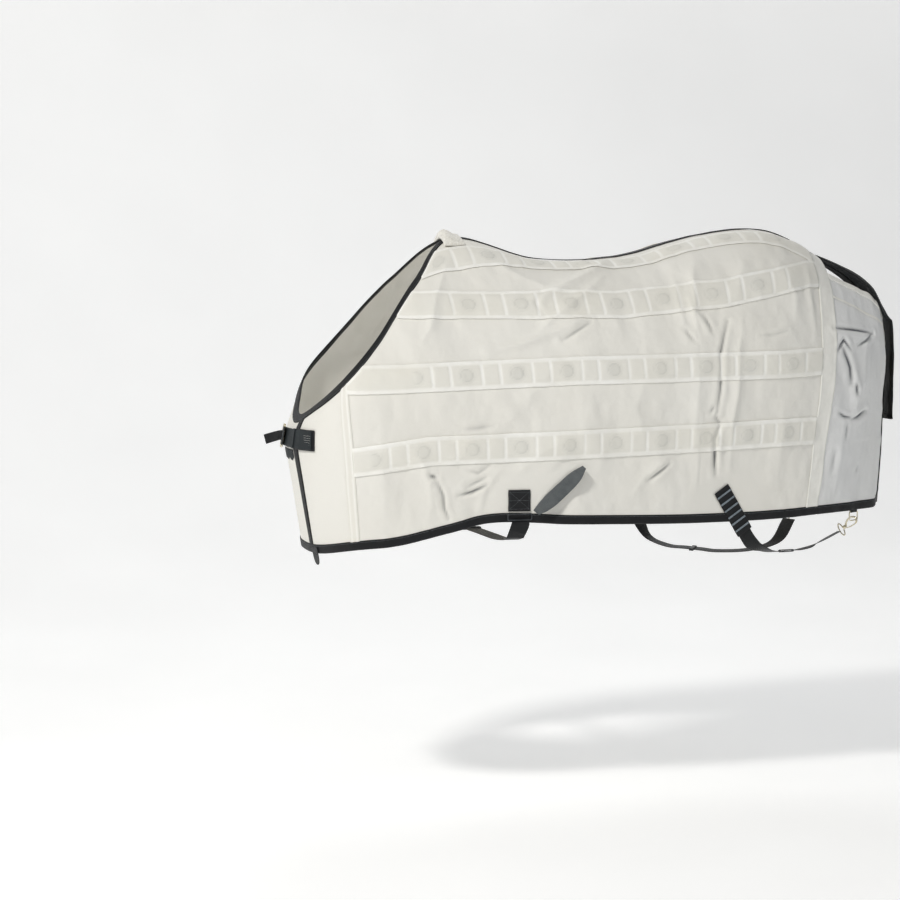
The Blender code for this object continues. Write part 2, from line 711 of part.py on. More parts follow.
def chest_closure():
    """Web from the near patch to a metal loop, and the off side's billet folded back through it."""
    low = CLOTH + CLEAR + WEB / 2
    points, leans = along_chest(np.linspace(-0.145, -0.064, 4), (low, low, low, low + 0.0014))
    ribbon("chest_patch_near", points, leans, CHEST_PATCH, WEB)
    middle, lean = on_chest(LOOP_AT, CHEST_HEIGHT, BAR_HEIGHT)
    down = unit(np.cross(lean, np.array((0.0, 1.0, 0.0))))
    along = unit(np.cross(down, lean))
    if along[1] < 0:
        along = -along
    up = np.cross(lean, along)
    wire_ring("chest_loop", middle, along, up, LOOP_HALF, LOOP_TALL, 0.006, LOOP_WIRE, METAL, "metal")
    turn = LOOP_WIRE + 0.0006 + WEB / 2
    bar = middle - (LOOP_HALF) * along
    points, leans = along_chest(np.linspace(-0.136, LOOP_AT - LOOP_HALF - 0.008, 7),
                                (SEWN_ON_PATCH, SEWN_ON_PATCH) + (WEB_HEIGHT,) * 5)
    points += around(bar, along, lean, turn, -90, 90, 6)
    points += [bar + turn * lean - 0.012 * along, bar + turn * lean - 0.022 * along]
    leans = leans + perpendicular(points, up)[len(leans):]
    ribbon("chest_web", points, leans, CHEST_WEB_WIDTH, WEB)
    bar = middle + LOOP_HALF * along
    points, leans = along_chest(np.linspace(0.185, LOOP_AT + LOOP_HALF + 0.008, 5),
                                (SEWN_ON_CLOTH, SEWN_ON_CLOTH, SEWN_ON_CLOTH) + (WEB_HEIGHT,) * 2)
    points += around(bar, -along, lean, turn, -90, 90, 6)
    for out, rise in ((0.010, 0.004), (0.020, 0.016), (0.030, 0.033), (0.036, 0.050)):
        points.append(bar + turn * lean + out * along + rise * lean - np.array((0, 0, 0.3 * rise)))
    leans = leans + [-n for n in perpendicular(points, up)[len(leans):]]
    ribbon("chest_billet", points, leans, BILLET_WIDTH, WEB)
    keeper, lean = on_chest(KEEPER_AT, CHEST_HEIGHT, WEB_HEIGHT)
    ahead, _ = on_chest(KEEPER_AT + 0.004, CHEST_HEIGHT, WEB_HEIGHT)
    along = unit(ahead - keeper)
    up = unit(np.cross(lean, along))
    lean = np.cross(along, up)
    band_loop("chest_keeper", keeper, along, up, lean, CHEST_WEB_WIDTH / 2 + 0.001, WEB / 2 + 0.0009,
              0.012, 0.001, GREY, "elastic")


def chest_elastic():
    """The gathered elastic under the web, with a scalloped lower edge."""
    sections = []
    for run in np.linspace(-0.034, 0.078, 17):
        drop = 0.020 + 0.009 * abs(math.sin(math.pi * (run + 0.034) / 0.0373))
        section = []
        for height in (ELASTIC_LOW, ELASTIC_LOW + 0.0016):
            for z in (ELASTIC_TOP, ELASTIC_TOP - drop):
                section.append(on_chest(run, z, height)[0])
        sections.append([section[0], section[1], section[3], section[2]])
    sweep("chest_elastic", sections, BLACK, "elastic")


def front_tab(grid):
    """The small rounded tab sewn over the near front corner's hem."""
    sections = []
    corner, lean = grid.at(1.5, HEM)
    across = unit(grid.points[2][HEM] - grid.points[1][HEM])
    down = unit(corner - grid.at(1.5, HEM_BINDING)[0])
    lean = unit(np.cross(across, down))
    lean = lean if lean[0] < 0 else -lean
    for drop, half in ((-0.014, 0.018), (0.008, 0.021), (0.024, 0.018), (0.033, 0.009)):
        middle = corner + drop * down + 0.0035 * lean
        section = [middle + a * half * across - b * lean
                   for a, b in ((-1, -0.0006), (1, -0.0006), (1, -0.0020), (-1, -0.0020))]
        sections.append(section)
    sweep("front_tab", sections, BLACK, "webbing")


def plate(name, side, start, end, width, low, thick, steps=4, ribs=0.0):
    """A patch of webbing sewn on the side, from one point (along, up) to another."""
    found = [on_side(side, x, z, low + thick / 2) for x, z in
             zip(np.linspace(start[0], end[0], steps), np.linspace(start[1], end[1], steps))]
    points, leans = [p for p, _ in found], [n for _, n in found]
    sections = []
    for k, (point, lean, along) in enumerate(zip(points, leans, tangents(points))):
        across = unit(np.cross(lean, along))
        a, b = 0.5 * width * across, 0.5 * thick * lean
        top = b + (ribs * lean if k % 2 else 0)
        sections.append([point - a - b, point + a - b, point + a + top, point - a + top])
    return sweep(name, sections, BLACK, "webbing")


def belly_strap():
    """Near patch, slot ring, and the strap that hangs from it and passes under the belly."""
    plate("belly_patch_near", -1, (BELLY_AT, -0.664), (BELLY_AT, -0.721), 0.060, PATCH_LOW, WEB)
    ring, lean = on_side(-1, BELLY_AT, -0.7275, 0.0113)
    across = np.array((1.0, 0.0, 0.0))
    down = unit(np.cross(across, lean))
    down = down if down[2] < 0 else -down
    middle = ring + 0.008 * down
    wire_ring("belly_ring", middle, across, down, 0.0335, 0.008, 0.004, 0.0020, GREY, "plastic",
              origin=tuple(ring))
    low = ring + 0.016 * down
    out = low[1] - 0.001
    lean_x = -0.012
    near_run = [(0.0, out - 0.0008, low[2] - 0.0040), (0.0, out - 0.001, -0.7540),
                (0.7, out + 0.001, -0.776), (1.0, out + 0.010, -0.792)]
    points = [np.array((BELLY_AT + lean_x * f, y, z)) for f, y, z in near_run]
    x = BELLY_AT + lean_x
    for y, z in ((-0.28, -0.801), (-0.20, BELLY_LOW), (-0.10, BELLY_LOW), (0.0, BELLY_LOW),
                 (0.10, BELLY_LOW), (0.20, BELLY_LOW), (0.28, -0.801)):
        points.append(np.array((x, y, z)))
    points += [np.array((x, 0.325, -0.792)), np.array((x, 0.3415, -0.775))]
    points += [on_side(1, x, z, 0.0085)[0] for z in (-0.745, -0.690)]
    points = np.vstack([points[:3], smooth(points[3:-1], 2), points[-1:]])
    leans = [unit(np.cross(along, (1.0, 0.0, 0.0))) for along in tangents(points)]
    ribbon("belly_strap", points, leans, BELLY_WEB_WIDTH, WEB)
    belly_slider((x, 0.05, BELLY_LOW))
    loose_end()


def loose_end():
    """The strap's free end, lying up the near side and bowed off it."""
    route = ((0.136, -0.716, 0.0044, 0), (0.156, -0.703, 0.0090, 40), (0.200, -0.668, 0.016, 75),
             (0.240, -0.630, 0.012, 55), (0.258, -0.610, 0.008, 20))
    sections = []
    for x, z, height, turn in route:
        point, lean = on_side(-1, x, z, height + 0.019 * math.sin(math.radians(turn)) * 0.8)
        along = unit(np.array((0.8, 0.0, 0.6)) - np.dot((0.8, 0.0, 0.6), lean) * lean)
        side = np.cross(along, lean)
        t = math.radians(turn)
        across = math.cos(t) * side + math.sin(t) * lean
        face = math.cos(t) * lean - math.sin(t) * side
        a, b = 0.5 * 0.038 * across, 0.5 * WEB * face
        sections.append([point - a - b, point + a - b, point + a + b, point - a + b])
    sweep("belly_loose_end", sections, GREY, "webbing")


def placed(start, axis, up, points):
    """Points given along an axis and across it, in world places."""
    return [start + p * axis + q * up for p, q in points]


def leg_seat(side, rear):
    """Where the ring's bar hangs inside the rear hem, and the line of the snap that pulls on it."""
    cells = range(len(rear.points) - 2)
    at = min(cells, key=lambda i: abs(rear.at(i + 0.5, HEM)[0][0] - TAB_AT))
    point, out = rear.at(at + 0.5, HEM)
    wide = unit(rear.points[at + 1][HEM] - rear.points[at][HEM])
    lean = unit(np.cross(wide, (0.0, 0.0, 1.0)))
    lean = lean if np.dot(lean, out) > 0 else -lean
    turn = RING_WIRE + 0.0005 + WEB / 2
    bar = point - (turn + WEB / 2 + 0.0006) * lean - np.array((0, 0, 0.006))
    axis = unit(0.80 * lean + np.array((0.0, 0.0, 0.60)))
    start = bar - np.array((0, 0, 2 * RING_TALL)) - 0.0405 * axis
    return bar, start, axis, turn


def strap_end(side, rear):
    _, start, axis, _ = leg_seat(side, rear)
    return start - (2 * EYE_HALF + 2 * EYE_WIRE + 0.0011) * axis


def leg_hardware(tag, side, rear):
    """The snap on the strap's end, its gate, and the ring that hangs in a tab at the rear hem."""
    bar, start, axis, turn = leg_seat(side, rear)
    rise = np.array((0.0, 0.0, 1.0))
    cross = unit(np.cross(axis, rise))
    up = np.cross(cross, axis)
    eye = start - (EYE_HALF + EYE_WIRE + 0.0006) * axis
    turns = np.radians(np.linspace(14, 346, 13))
    loop = placed(eye, axis, up, [(EYE_HALF * math.cos(t), EYE_TALL * math.sin(t)) for t in turns])
    rod("leg_eye_" + tag, loop, EYE_WIRE, METAL, "metal", side_hint=cross, sides=6)
    hook = ((0.000, 0.0), (0.007, 0.0), (0.009, 0.001), (0.016, 0.0075), (0.026, 0.0115), (0.038, 0.0115),
            (0.048, 0.0065), (0.0515, -0.001), (0.048, -0.0085), (0.041, -0.0115))
    sizes = (0.0052, 0.0052, 0.0036) + (0.0028,) * 6 + (0.0024,)
    rod("leg_snap_" + tag, placed(start, axis, up, hook), sizes, METAL, "metal", tuple(start),
        side_hint=cross, sides=8)
    gate = placed(start, axis, up, ((0.0096, -0.0050), (0.020, -0.0094), (0.0375, -0.0114)))
    rod("leg_gate_" + tag, gate, 0.0018, METAL, "metal", tuple(gate[0]), side_hint=cross, sides=6)
    wide = unit(np.cross(rise, axis))
    wire_ring("leg_ring_" + tag, bar - RING_TALL * rise, wide, rise, RING_HALF, RING_TALL, 0.006, RING_WIRE,
              METAL, "metal", origin=tuple(bar))
    face = np.cross(wide, rise)
    points = [bar + turn * face + h * rise for h in (TAB_TALL, 0.004)]
    points += around(bar, face, -rise, turn, 0, 180, 7)
    points += [bar - turn * face + h * rise for h in (0.004, TAB_TALL)]
    leans = [unit(np.cross(along, wide)) for along in tangents(points)]
    ribbon("leg_tab_" + tag, points, leans, TAB_WIDTH, WEB)


def leg_strap(side, shift, route, rear):
    """The slanted patch with its elastic ribs, the strap, its slider and its snap."""
    tag = name_of(side)
    plate("leg_patch_" + tag, side, (LEG_PATCH[0][0] + shift, LEG_PATCH[0][1]),
          (LEG_PATCH[1][0] + shift, LEG_PATCH[1][1]), LEG_PATCH_WIDTH, LEG_PATCH_LOW, WEB, 13, 0.0012)
    first = on_side(side, LEG_START[0] + shift, LEG_START[1], LEG_START_HEIGHT)[0]
    route = [np.array(point, float) * (1, side, 1) for point in route]
    points = smooth([first] + route + [strap_end(side, rear)], 4)
    leans = []
    for k, along in enumerate(tangents(points)):
        share = min(k / 9.0, 1.0)
        hint = np.array((0.0, float(side), 0.0)) * (1 - share) + np.array((0.0, 0.15 * side, -1.0)) * share
        leans.append(unit(hint - np.dot(hint, along) * along))
    ribbon("leg_strap_" + tag, points, leans, LEG_WEB_WIDTH, WEB)
    at = SLIDER_POINT
    along = unit(points[at + 1] - points[at - 1])
    lean = unit(leans[at] - np.dot(leans[at], along) * along)
    across = unit(np.cross(lean, along))
    band_loop("leg_slider_" + tag, points[at], along, across, lean, LEG_WEB_WIDTH / 2 + 0.0008,
              WEB / 2 + 0.0008, 0.012, 0.0022, GREY, "plastic")
    leg_hardware(tag, side, rear)


def belly_slider(centre):
    along, across, lean = np.eye(3)[1], np.eye(3)[0], np.eye(3)[2]
    band_loop("belly_slider", np.array(centre), along, across, lean, BELLY_WEB_WIDTH / 2 + 0.0008,
              WEB / 2 + 0.0008, 0.014, 0.0024, GREY, "plastic")


def main():
    clear_scene()
    near, near_rear, seam, wither = sheets(-1)
    off, off_rear, off_seam, _ = sheets(1)
    rows_of(near, seam, -1)
    rows_of(off, off_seam, 1)
    spine_tape(near, off, wither)
    tail_flap()
    wither_pad()
    chest_closure()
    chest_elastic()
    front_tab(near)
    belly_strap()
    leg_strap(-1, 0.0, NEAR_ROUTE, near_rear)
    leg_strap(1, OFF_SHIFT, OFF_ROUTE, off_rear)


main()
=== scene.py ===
# %% [markdown]
# # A horse's fly sheet
#
# A light mesh sheet hangs over a horse's back. It closes at the chest with a buckled strap, and
# straps under the belly and round the hind legs hold it. Soft magnets sit in stitched channels.
#
# The notebook loads the fixed model first. It then works out the shape of the cloth once, and
# every layer reads that same shape, so tapes, channels and straps stay seated on the cloth.

# %% [markdown]
# ## The fixed model
#
# The imported model gives the bodies that each piece must follow.

# %% Load the fixed model
import json
import math

import bpy
import numpy as np
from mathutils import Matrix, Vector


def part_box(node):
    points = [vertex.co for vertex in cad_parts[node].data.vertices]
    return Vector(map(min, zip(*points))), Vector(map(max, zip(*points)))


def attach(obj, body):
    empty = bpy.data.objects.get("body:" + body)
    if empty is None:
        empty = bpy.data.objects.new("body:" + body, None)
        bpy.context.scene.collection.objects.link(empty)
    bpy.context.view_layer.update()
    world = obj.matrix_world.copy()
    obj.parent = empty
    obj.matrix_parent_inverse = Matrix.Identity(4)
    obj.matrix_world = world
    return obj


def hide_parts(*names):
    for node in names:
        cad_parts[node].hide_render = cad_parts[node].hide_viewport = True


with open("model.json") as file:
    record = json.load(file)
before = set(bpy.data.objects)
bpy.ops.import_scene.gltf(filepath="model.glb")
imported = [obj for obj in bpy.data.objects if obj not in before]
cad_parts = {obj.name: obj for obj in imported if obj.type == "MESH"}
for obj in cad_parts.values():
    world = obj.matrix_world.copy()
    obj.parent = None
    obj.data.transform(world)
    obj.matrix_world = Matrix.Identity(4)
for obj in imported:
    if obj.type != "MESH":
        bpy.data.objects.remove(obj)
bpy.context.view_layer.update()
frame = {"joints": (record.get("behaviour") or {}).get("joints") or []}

# %% [markdown]
# ## Colours and a way to add nodes
#
# Colours are written as sRGB hex values. Shaders need linear light, so one function converts them.
# Materials could be drawn by hand in the node editor. Built in code, they can share their parts,
# and one small function that adds a node keeps each recipe short.

# %% Helpers for colours and nodes
def linear(code):
    """An sRGB hex code as a linear colour with full alpha."""
    parts = [int(code[k:k + 2], 16) / 255 for k in (1, 3, 5)]
    return tuple(c / 12.92 if c <= 0.04045 else ((c + 0.055) / 1.055) ** 2.4 for c in parts) + (1.0,)


def add(tree, kind, inputs=None, **settings):
    """A new node in the tree. An input's value is a number, a colour or another node's socket."""
    made = tree.nodes.new(kind)
    for name, value in settings.items():
        setattr(made, name, value)
    for name, value in (inputs or {}).items():
        if isinstance(value, bpy.types.NodeSocket):
            tree.links.new(value, made.inputs[name])
        else:
            made.inputs[name].default_value = value
    return made


def new_material(name, roughness, **more):
    """A material, its node tree and its shader. Further values are shader sockets, by name."""
    made = bpy.data.materials.new(name)
    made.use_nodes = True
    shader = made.node_tree.nodes["Principled BSDF"]
    shader.inputs["Roughness"].default_value = roughness
    for socket, value in more.items():
        shader.inputs[socket.replace("_", " ")].default_value = value
    return made, made.node_tree, shader


# %% [markdown]
# ## Woven materials
#
# Every woven piece carries a UV map named `cloth`, in metres along and across the weave. The
# thread spacing can then be given in real millimetres.

# %% Threads, patches and mixes
def threads(tree, along_mm, across_mm):
    """Two sets of rounded threads, as values from 0 to 1."""
    place = add(tree, "ShaderNodeUVMap", uv_map="cloth")
    split = add(tree, "ShaderNodeSeparateXYZ", {"Vector": place.outputs[0]})
    found = []
    # The cloth map is in metres, so 2000 pi over a pitch in millimetres is one turn for each thread.
    for socket, pitch in ((0, along_mm), (1, across_mm)):
        scaled = add(tree, "ShaderNodeMath", {0: split.outputs[socket], 1: 2000 * math.pi / pitch},
                     operation="MULTIPLY")
        wave = add(tree, "ShaderNodeMath", {0: scaled.outputs[0]}, operation="SINE")
        half = add(tree, "ShaderNodeMath", {0: wave.outputs[0], 1: 0.5, 2: 0.5}, operation="MULTIPLY_ADD")
        found.append(half.outputs[0])
    return found


def blotches(tree, scale, low, high, detail=3.0):
    """Soft uneven patches over the whole object, from low to high."""
    place = add(tree, "ShaderNodeTexCoord")
    noise = add(tree, "ShaderNodeTexNoise", {"Vector": place.outputs["Object"], "Scale": scale,
                                             "Detail": detail, "Roughness": 0.55})
    made = add(tree, "ShaderNodeMapRange", {"Value": noise.outputs["Fac"], "From Min": 0.3,
                                            "From Max": 0.7, "To Min": low, "To Max": high})
    return made.outputs[0]


def tinted(tree, a, b, share):
    """A colour between two others. Either may be a hex code or a socket."""
    mix = add(tree, "ShaderNodeMix", data_type="RGBA")
    for index, colour in ((6, a), (7, b)):
        if isinstance(colour, str):
            mix.inputs[index].default_value = linear(colour)
        else:
            tree.links.new(colour, mix.inputs[index])
    tree.links.new(share, mix.inputs[0])
    return mix.outputs[2]


def bumped(tree, shader, height, distance, strength=1.0):
    bump = add(tree, "ShaderNodeBump", {"Height": height, "Distance": distance, "Strength": strength})
    tree.links.new(bump.outputs[0], shader.inputs["Normal"])


def summed(tree, a, b, weight):
    return add(tree, "ShaderNodeMath", {0: b, 1: weight, 2: a}, operation="MULTIPLY_ADD").outputs[0]


print("pattern helpers ready")

# %% [markdown]
# ### The open mesh
#
# The sheet is knitted polyester, full of holes about a millimetre wide. Real holes would need
# millions of faces. Here two sets of waves make pale threads with darker gaps, and the same
# waves drive the bump. They are drawn 1.7 mm apart, coarser than life, so that the knit shows.

# %% Open mesh
# Painted shade: the dark blue-grey laid into the cores of deep creases, where shadow would fall.
PAINTED_CREASE_SHADE = "#262C3A"


def open_mesh(name, thread, gap, dust, pitch):
    """An open knitted mesh: pale threads with darker gaps between them, a little dust, and painted shade in its
    creases.
    """
    made, tree, shader = new_material(name, 0.82, Sheen_Weight=0.12, Sheen_Roughness=0.5,
                                      Specular_IOR_Level=0.25)
    a, b = threads(tree, pitch, pitch)
    weave = add(tree, "ShaderNodeMath", {0: a, 1: b}, operation="MAXIMUM").outputs[0]
    open_share = add(tree, "ShaderNodeMapRange", {"Value": weave, "From Min": 0.25, "From Max": 0.75})
    colour = tinted(tree, gap, thread, open_share.outputs[0])
    soiled = tinted(tree, colour, dust, blotches(tree, 3.2, 0.0, 0.30))
    # The shade value paints the creases' shadow into the colour.
    deep = add(tree, "ShaderNodeAttribute", attribute_name="shade").outputs["Fac"]
    tree.links.new(tinted(tree, soiled, PAINTED_CREASE_SHADE, deep), shader.inputs["Base Color"])
    tree.links.new(blotches(tree, 9.0, 0.76, 0.92), shader.inputs["Roughness"])
    bumped(tree, shader, weave, 0.0004, 0.7)
    return made


print("open mesh ready")

# %% [markdown]
# ### Tapes and webbing
#
# Tape and webbing are woven with ribs across them. A picture of a weave could be used, but it
# repeats and blurs. Waves over the strip's own map stay sharp, and turn with every bend.

# %% Woven tape
def woven_tape(name, light, dark, along_mm, across_mm, depth, roughness, sheen=0.1, weight=0.35):
    """Ribbed tape or webbing: ribs across it, finer threads along it, and worn lighter threads."""
    made, tree, shader = new_material(name, roughness, Sheen_Weight=sheen, Sheen_Roughness=0.4,
                                      Specular_IOR_Level=0.35)
    ribs, fine = threads(tree, along_mm, across_mm)
    weave = summed(tree, ribs, fine, weight)
    shade = add(tree, "ShaderNodeMapRange", {"Value": weave, "From Min": 0.1, "From Max": 1.2})
    worn = blotches(tree, 55.0, -0.12, 0.18, 4.0)
    share = add(tree, "ShaderNodeMath", {0: shade.outputs[0], 1: worn}, operation="ADD", use_clamp=True)
    tree.links.new(tinted(tree, dark, light, share.outputs[0]), shader.inputs["Base Color"])
    bumped(tree, shader, weave, depth, 0.9)
    return made


print("woven tape ready")

# %% [markdown]
# ### The sheet's woven finishes
#
# Each finish has a light colour for the top of its threads, a dark one between them, and the
# spacing of its ribs in millimetres. Webbing is coarser and duller than binding.

# %% Woven finishes
white_mesh = open_mesh("open_knit_polyester_white", "#F4F2EB", "#E2E0D8", "#E4E0D4", 1.7)
# The rear panel is the same white mesh, greyer and cooler: painted shade for its face turned away from the
# light.
shaded_rear_mesh = open_mesh("open_knit_polyester_white_painted_rear_shade", "#EFEFED", "#DADBDB", "#E0DED8", 1.7)
dark_mesh = open_mesh("open_knit_polyester_charcoal", "#24282C", "#0F1215", "#2A2A2A", 1.7)
white_tape = woven_tape("polyester_twill_tape_white", "#FBFAF4", "#E9E7DE", 1.6, 1.1, 0.00025, 0.72)
black_tape = woven_tape("nylon_grosgrain_binding_black", "#0D0F13", "#030405", 1.5, 1.2, 0.00025, 0.55, 0.02)
black_web = woven_tape("polypropylene_webbing_black", "#111418", "#040506", 2.2, 1.5, 0.00045, 0.48, 0.03)
# A lighter grey copy of the black webbing, used only for the belly strap's loose end: painted sheen where the
# bowed end catches the light.
sheen_lit_black_web = woven_tape("polypropylene_webbing_black_painted_sheen", "#6E7374", "#34383B", 2.2, 1.5, 0.00045, 0.5)
elastic = woven_tape("ribbed_elastic_dark_teal", "#1A272C", "#04080A", 3.0, 1.4, 0.0007, 0.55, 0.03)
pale_elastic = woven_tape("ribbed_elastic_pale", "#9AA4AC", "#4A535A", 1.2, 1.8, 0.0003, 0.5)
print("woven materials made")

# %% [markdown]
# ## Other materials
#
# The fittings are plated steel and moulded plastic. The pad is fleece, and the stitches are thread.
# Each could be one flat colour, but real surfaces vary. Plating has worn and dull places, moulded
# plastic a faint grain, and fleece has tufts, so noise at the right scale is mixed into each.

# %% Fittings, fleece and thread
def plated_steel():
    made, tree, shader = new_material("plated_steel_satin", 0.3, Metallic=1.0)
    share = blotches(tree, 40.0, 0.0, 1.0, 5.0)
    tree.links.new(tinted(tree, "#E4E0D4", "#C9BE9C", share), shader.inputs["Base Color"])
    tree.links.new(blotches(tree, 120.0, 0.22, 0.42), shader.inputs["Roughness"])
    bumped(tree, shader, blotches(tree, 400.0, 0.0, 1.0), 0.00005, 0.5)
    return made


def moulded_plastic():
    made, tree, shader = new_material("moulded_acetal_dark_grey", 0.42, IOR=1.48)
    mottled = tinted(tree, "#202326", "#33373B", blotches(tree, 60.0, 0.0, 1.0))
    tree.links.new(mottled, shader.inputs["Base Color"])
    tree.links.new(blotches(tree, 90.0, 0.35, 0.55), shader.inputs["Roughness"])
    bumped(tree, shader, blotches(tree, 900.0, 0.0, 1.0), 0.00004, 0.6)
    return made


def fleece_pile():
    made, tree, shader = new_material("acrylic_fleece_white", 0.95, Sheen_Weight=0.6, Sheen_Roughness=0.6,
                                      Specular_IOR_Level=0.1)
    place = add(tree, "ShaderNodeTexCoord")
    where = place.outputs["Object"]
    tufts = add(tree, "ShaderNodeTexVoronoi", {"Vector": where, "Scale": 260.0}, feature="SMOOTH_F1")
    fluff = add(tree, "ShaderNodeTexNoise", {"Vector": where, "Scale": 900.0, "Detail": 4.0})
    both = summed(tree, tufts.outputs["Distance"], fluff.outputs["Fac"], 0.5)
    shade = add(tree, "ShaderNodeMapRange", {"Value": both, "From Min": 0.2, "From Max": 1.1})
    tree.links.new(tinted(tree, "#FBF9F2", "#DAD6CA", shade.outputs[0]), shader.inputs["Base Color"])
    bumped(tree, shader, both, 0.0016, 0.9)
    return made


def thread_material(name, light, dark):
    made, tree, shader = new_material(name, 0.55, Sheen_Weight=0.2)
    tree.links.new(tinted(tree, light, dark, blotches(tree, 700.0, 0.0, 1.0)), shader.inputs["Base Color"])
    bumped(tree, shader, blotches(tree, 2500.0, 0.0, 1.0), 0.00008, 0.6)
    return made


steel = plated_steel()
plastic = moulded_plastic()
fleece = fleece_pile()
white_thread = thread_material("polyester_thread_white", "#FFFFFA", "#EDEBE2")
grey_thread = thread_material("polyester_thread_grey", "#8F9498", "#5D6266")
print("fitting materials made")

# %% [markdown]
# ## The form under the cloth
#
# The cloth takes the shape of the horse. Ribs run from the top line down to the hem, each given
# by its top, a handle that rounds it, its widest point and its hem. A smooth curve joins them.

# %% Sizes, ribs and rows
CLOTH = 0.0020
TAPE = 0.0012
CLEAR = 0.0004
HALF_SPLIT = 0.0003
EDGE_WIDTH = 0.024
SPINE_HALF = 0.012
FRONT_EDGE_WIDTH = 0.012
REAR_EDGE_WIDTH = 0.014
REAR_GAP = 0.0005
FACING_WIDTH = 0.050
LAP = 0.45
SEAM_STATION = 2.0
SEAM_WIDTH = 0.028
WITHER = 5.0
MAIN_END = 10.0
LAST = 13.0
RIBS = (
    ((-0.425, 0.000, -0.475), (-0.442, 0.000, -0.500), (-0.455, 0.000, -0.575), (-0.405, 0.000, -0.843)),
    ((-0.400, 0.100, -0.438), (-0.422, 0.115, -0.470), (-0.430, 0.120, -0.575), (-0.392, 0.110, -0.838)),
    ((-0.352, 0.195, -0.366), (-0.368, 0.222, -0.410), (-0.352, 0.228, -0.580), (-0.330, 0.210, -0.820)),
    ((-0.262, 0.190, -0.262), (-0.278, 0.245, -0.330), (-0.245, 0.268, -0.560), (-0.225, 0.262, -0.806)),
    ((-0.135, 0.110, -0.110), (-0.145, 0.215, -0.170), (-0.115, 0.290, -0.530), (-0.100, 0.290, -0.775)),
    ((0.000, 0.000, 0.000), (0.000, 0.100, -0.020), (0.020, 0.308, -0.510), (0.030, 0.308, -0.748)),
    ((0.240, 0.000, -0.058), (0.240, 0.190, -0.056), (0.240, 0.330, -0.500), (0.240, 0.335, -0.757)),
    ((0.480, 0.000, -0.054), (0.480, 0.200, -0.052), (0.480, 0.335, -0.490), (0.480, 0.335, -0.765)),
    ((0.720, 0.000, 0.004), (0.720, 0.195, 0.008), (0.700, 0.318, -0.470), (0.690, 0.312, -0.769)),
    ((0.930, 0.000, 0.020), (0.930, 0.165, 0.024), (0.880, 0.300, -0.450), (0.860, 0.295, -0.768)),
    ((1.088, 0.000, -0.047), (1.090, 0.120, -0.045), (1.035, 0.258, -0.440), (0.985, 0.270, -0.764)),
    ((1.175, 0.000, -0.085), (1.185, 0.070, -0.080), (1.150, 0.205, -0.420), (1.090, 0.232, -0.763)),
    ((1.250, 0.000, -0.130), (1.270, 0.050, -0.130), (1.256, 0.130, -0.400), (1.205, 0.165, -0.762)),
    ((1.284, 0.000, -0.178), (1.312, 0.030, -0.212), (1.308, 0.045, -0.400), (1.288, 0.055, -0.762)),
)
# Heights of the channels' upper and lower edges along the body, as (along, up)
ROW_1 = (((-0.20, -0.140), (0.40, -0.145), (0.70, -0.113), (0.95, -0.066)),
         ((-0.20, -0.213), (0.40, -0.216), (0.70, -0.188), (0.95, -0.138)))
ROW_2 = (((-0.30, -0.335), (0.25, -0.315), (0.85, -0.308), (1.05, -0.300)),
         ((-0.30, -0.408), (0.25, -0.388), (0.85, -0.382), (1.05, -0.374)))
ROW_3 = (((-0.34, -0.549), (-0.15, -0.520), (0.30, -0.508), (0.90, -0.494)),
         ((-0.34, -0.624), (-0.15, -0.595), (0.30, -0.583), (0.90, -0.568)))
ROW_0_OUT = (0.055, 0.125)
STATIONS = np.array(RIBS, float)
FLIP = np.array((1.0, -1.0, 1.0))
PADDED = np.concatenate([STATIONS[1:2] * FLIP, STATIONS, 2 * STATIONS[-1:] - STATIONS[-2:-1]])


print("form described by", len(RIBS), "ribs")

# %% [markdown]
# ### A surface from the ribs
#
# The form could be a sculpted mesh, but then no layer could ask where it is. A formula can be
# read anywhere: one curve runs down each rib, and a smooth curve joins the ribs round the side.

# %% Points and directions on the form
def unit(vectors):
    return vectors / np.maximum(np.linalg.norm(vectors, axis=-1, keepdims=True), 1e-12)


def surf(s, v):
    """Points of the form: v is 0 at the top edge, 1 at the widest point and 2 at the hem."""
    s, v = np.broadcast_arrays(np.asarray(s, float), np.asarray(v, float))
    shape, s, v = s.shape, np.abs(s).ravel(), v.ravel()
    at = np.minimum(np.floor(s).astype(int), len(STATIONS) - 2)
    f = (s - at)[:, None, None]
    a, b, c, d = (PADDED[at + k] for k in range(4))
    made = 0.5 * (2 * b + (c - a) * f + (2 * a - 5 * b + 4 * c - d) * f**2 + (3 * b - a - 3 * c + d) * f**3)
    made[s >= WITHER, 0, 1] = 0.0
    top, handle, wide, hem = (made[:, k] for k in range(4))
    low = wide + unit(wide - hem) * 0.45 * np.linalg.norm(wide - top, axis=1, keepdims=True)
    f = 1 - np.minimum(v, 1.0)[:, None]
    g = 1 - f
    upper = f**3 * top + 3 * f * f * g * handle + 3 * f * g * g * low + g**3 * wide
    lower = wide + (hem - wide) * (v - 1)[:, None]
    return np.where(v[:, None] > 1, lower, upper).reshape(shape + (3,))


def normal(s, v):
    """The form's outward direction, from two short steps along and down it."""
    e = 0.02
    low, high = np.maximum(v - e, 0.0), np.minimum(v + e, 2.0)
    behind = surf(np.abs(s - e), v)
    behind[..., 1] *= np.where(s - e < 0, -1, 1)
    along = surf(np.minimum(s + e, LAST), v) - behind
    return unit(np.cross(along, surf(s, high) - surf(s, low)))


FINE_V = np.linspace(0.0, 2.0, 161)


print("surface ready")

# %% [markdown]
# ### Distances in metres
#
# Cloth is measured with a tape, not with the formula's own numbers. These helpers turn a height
# or a distance on the form into a distance down the rib, and a place into a distance round.

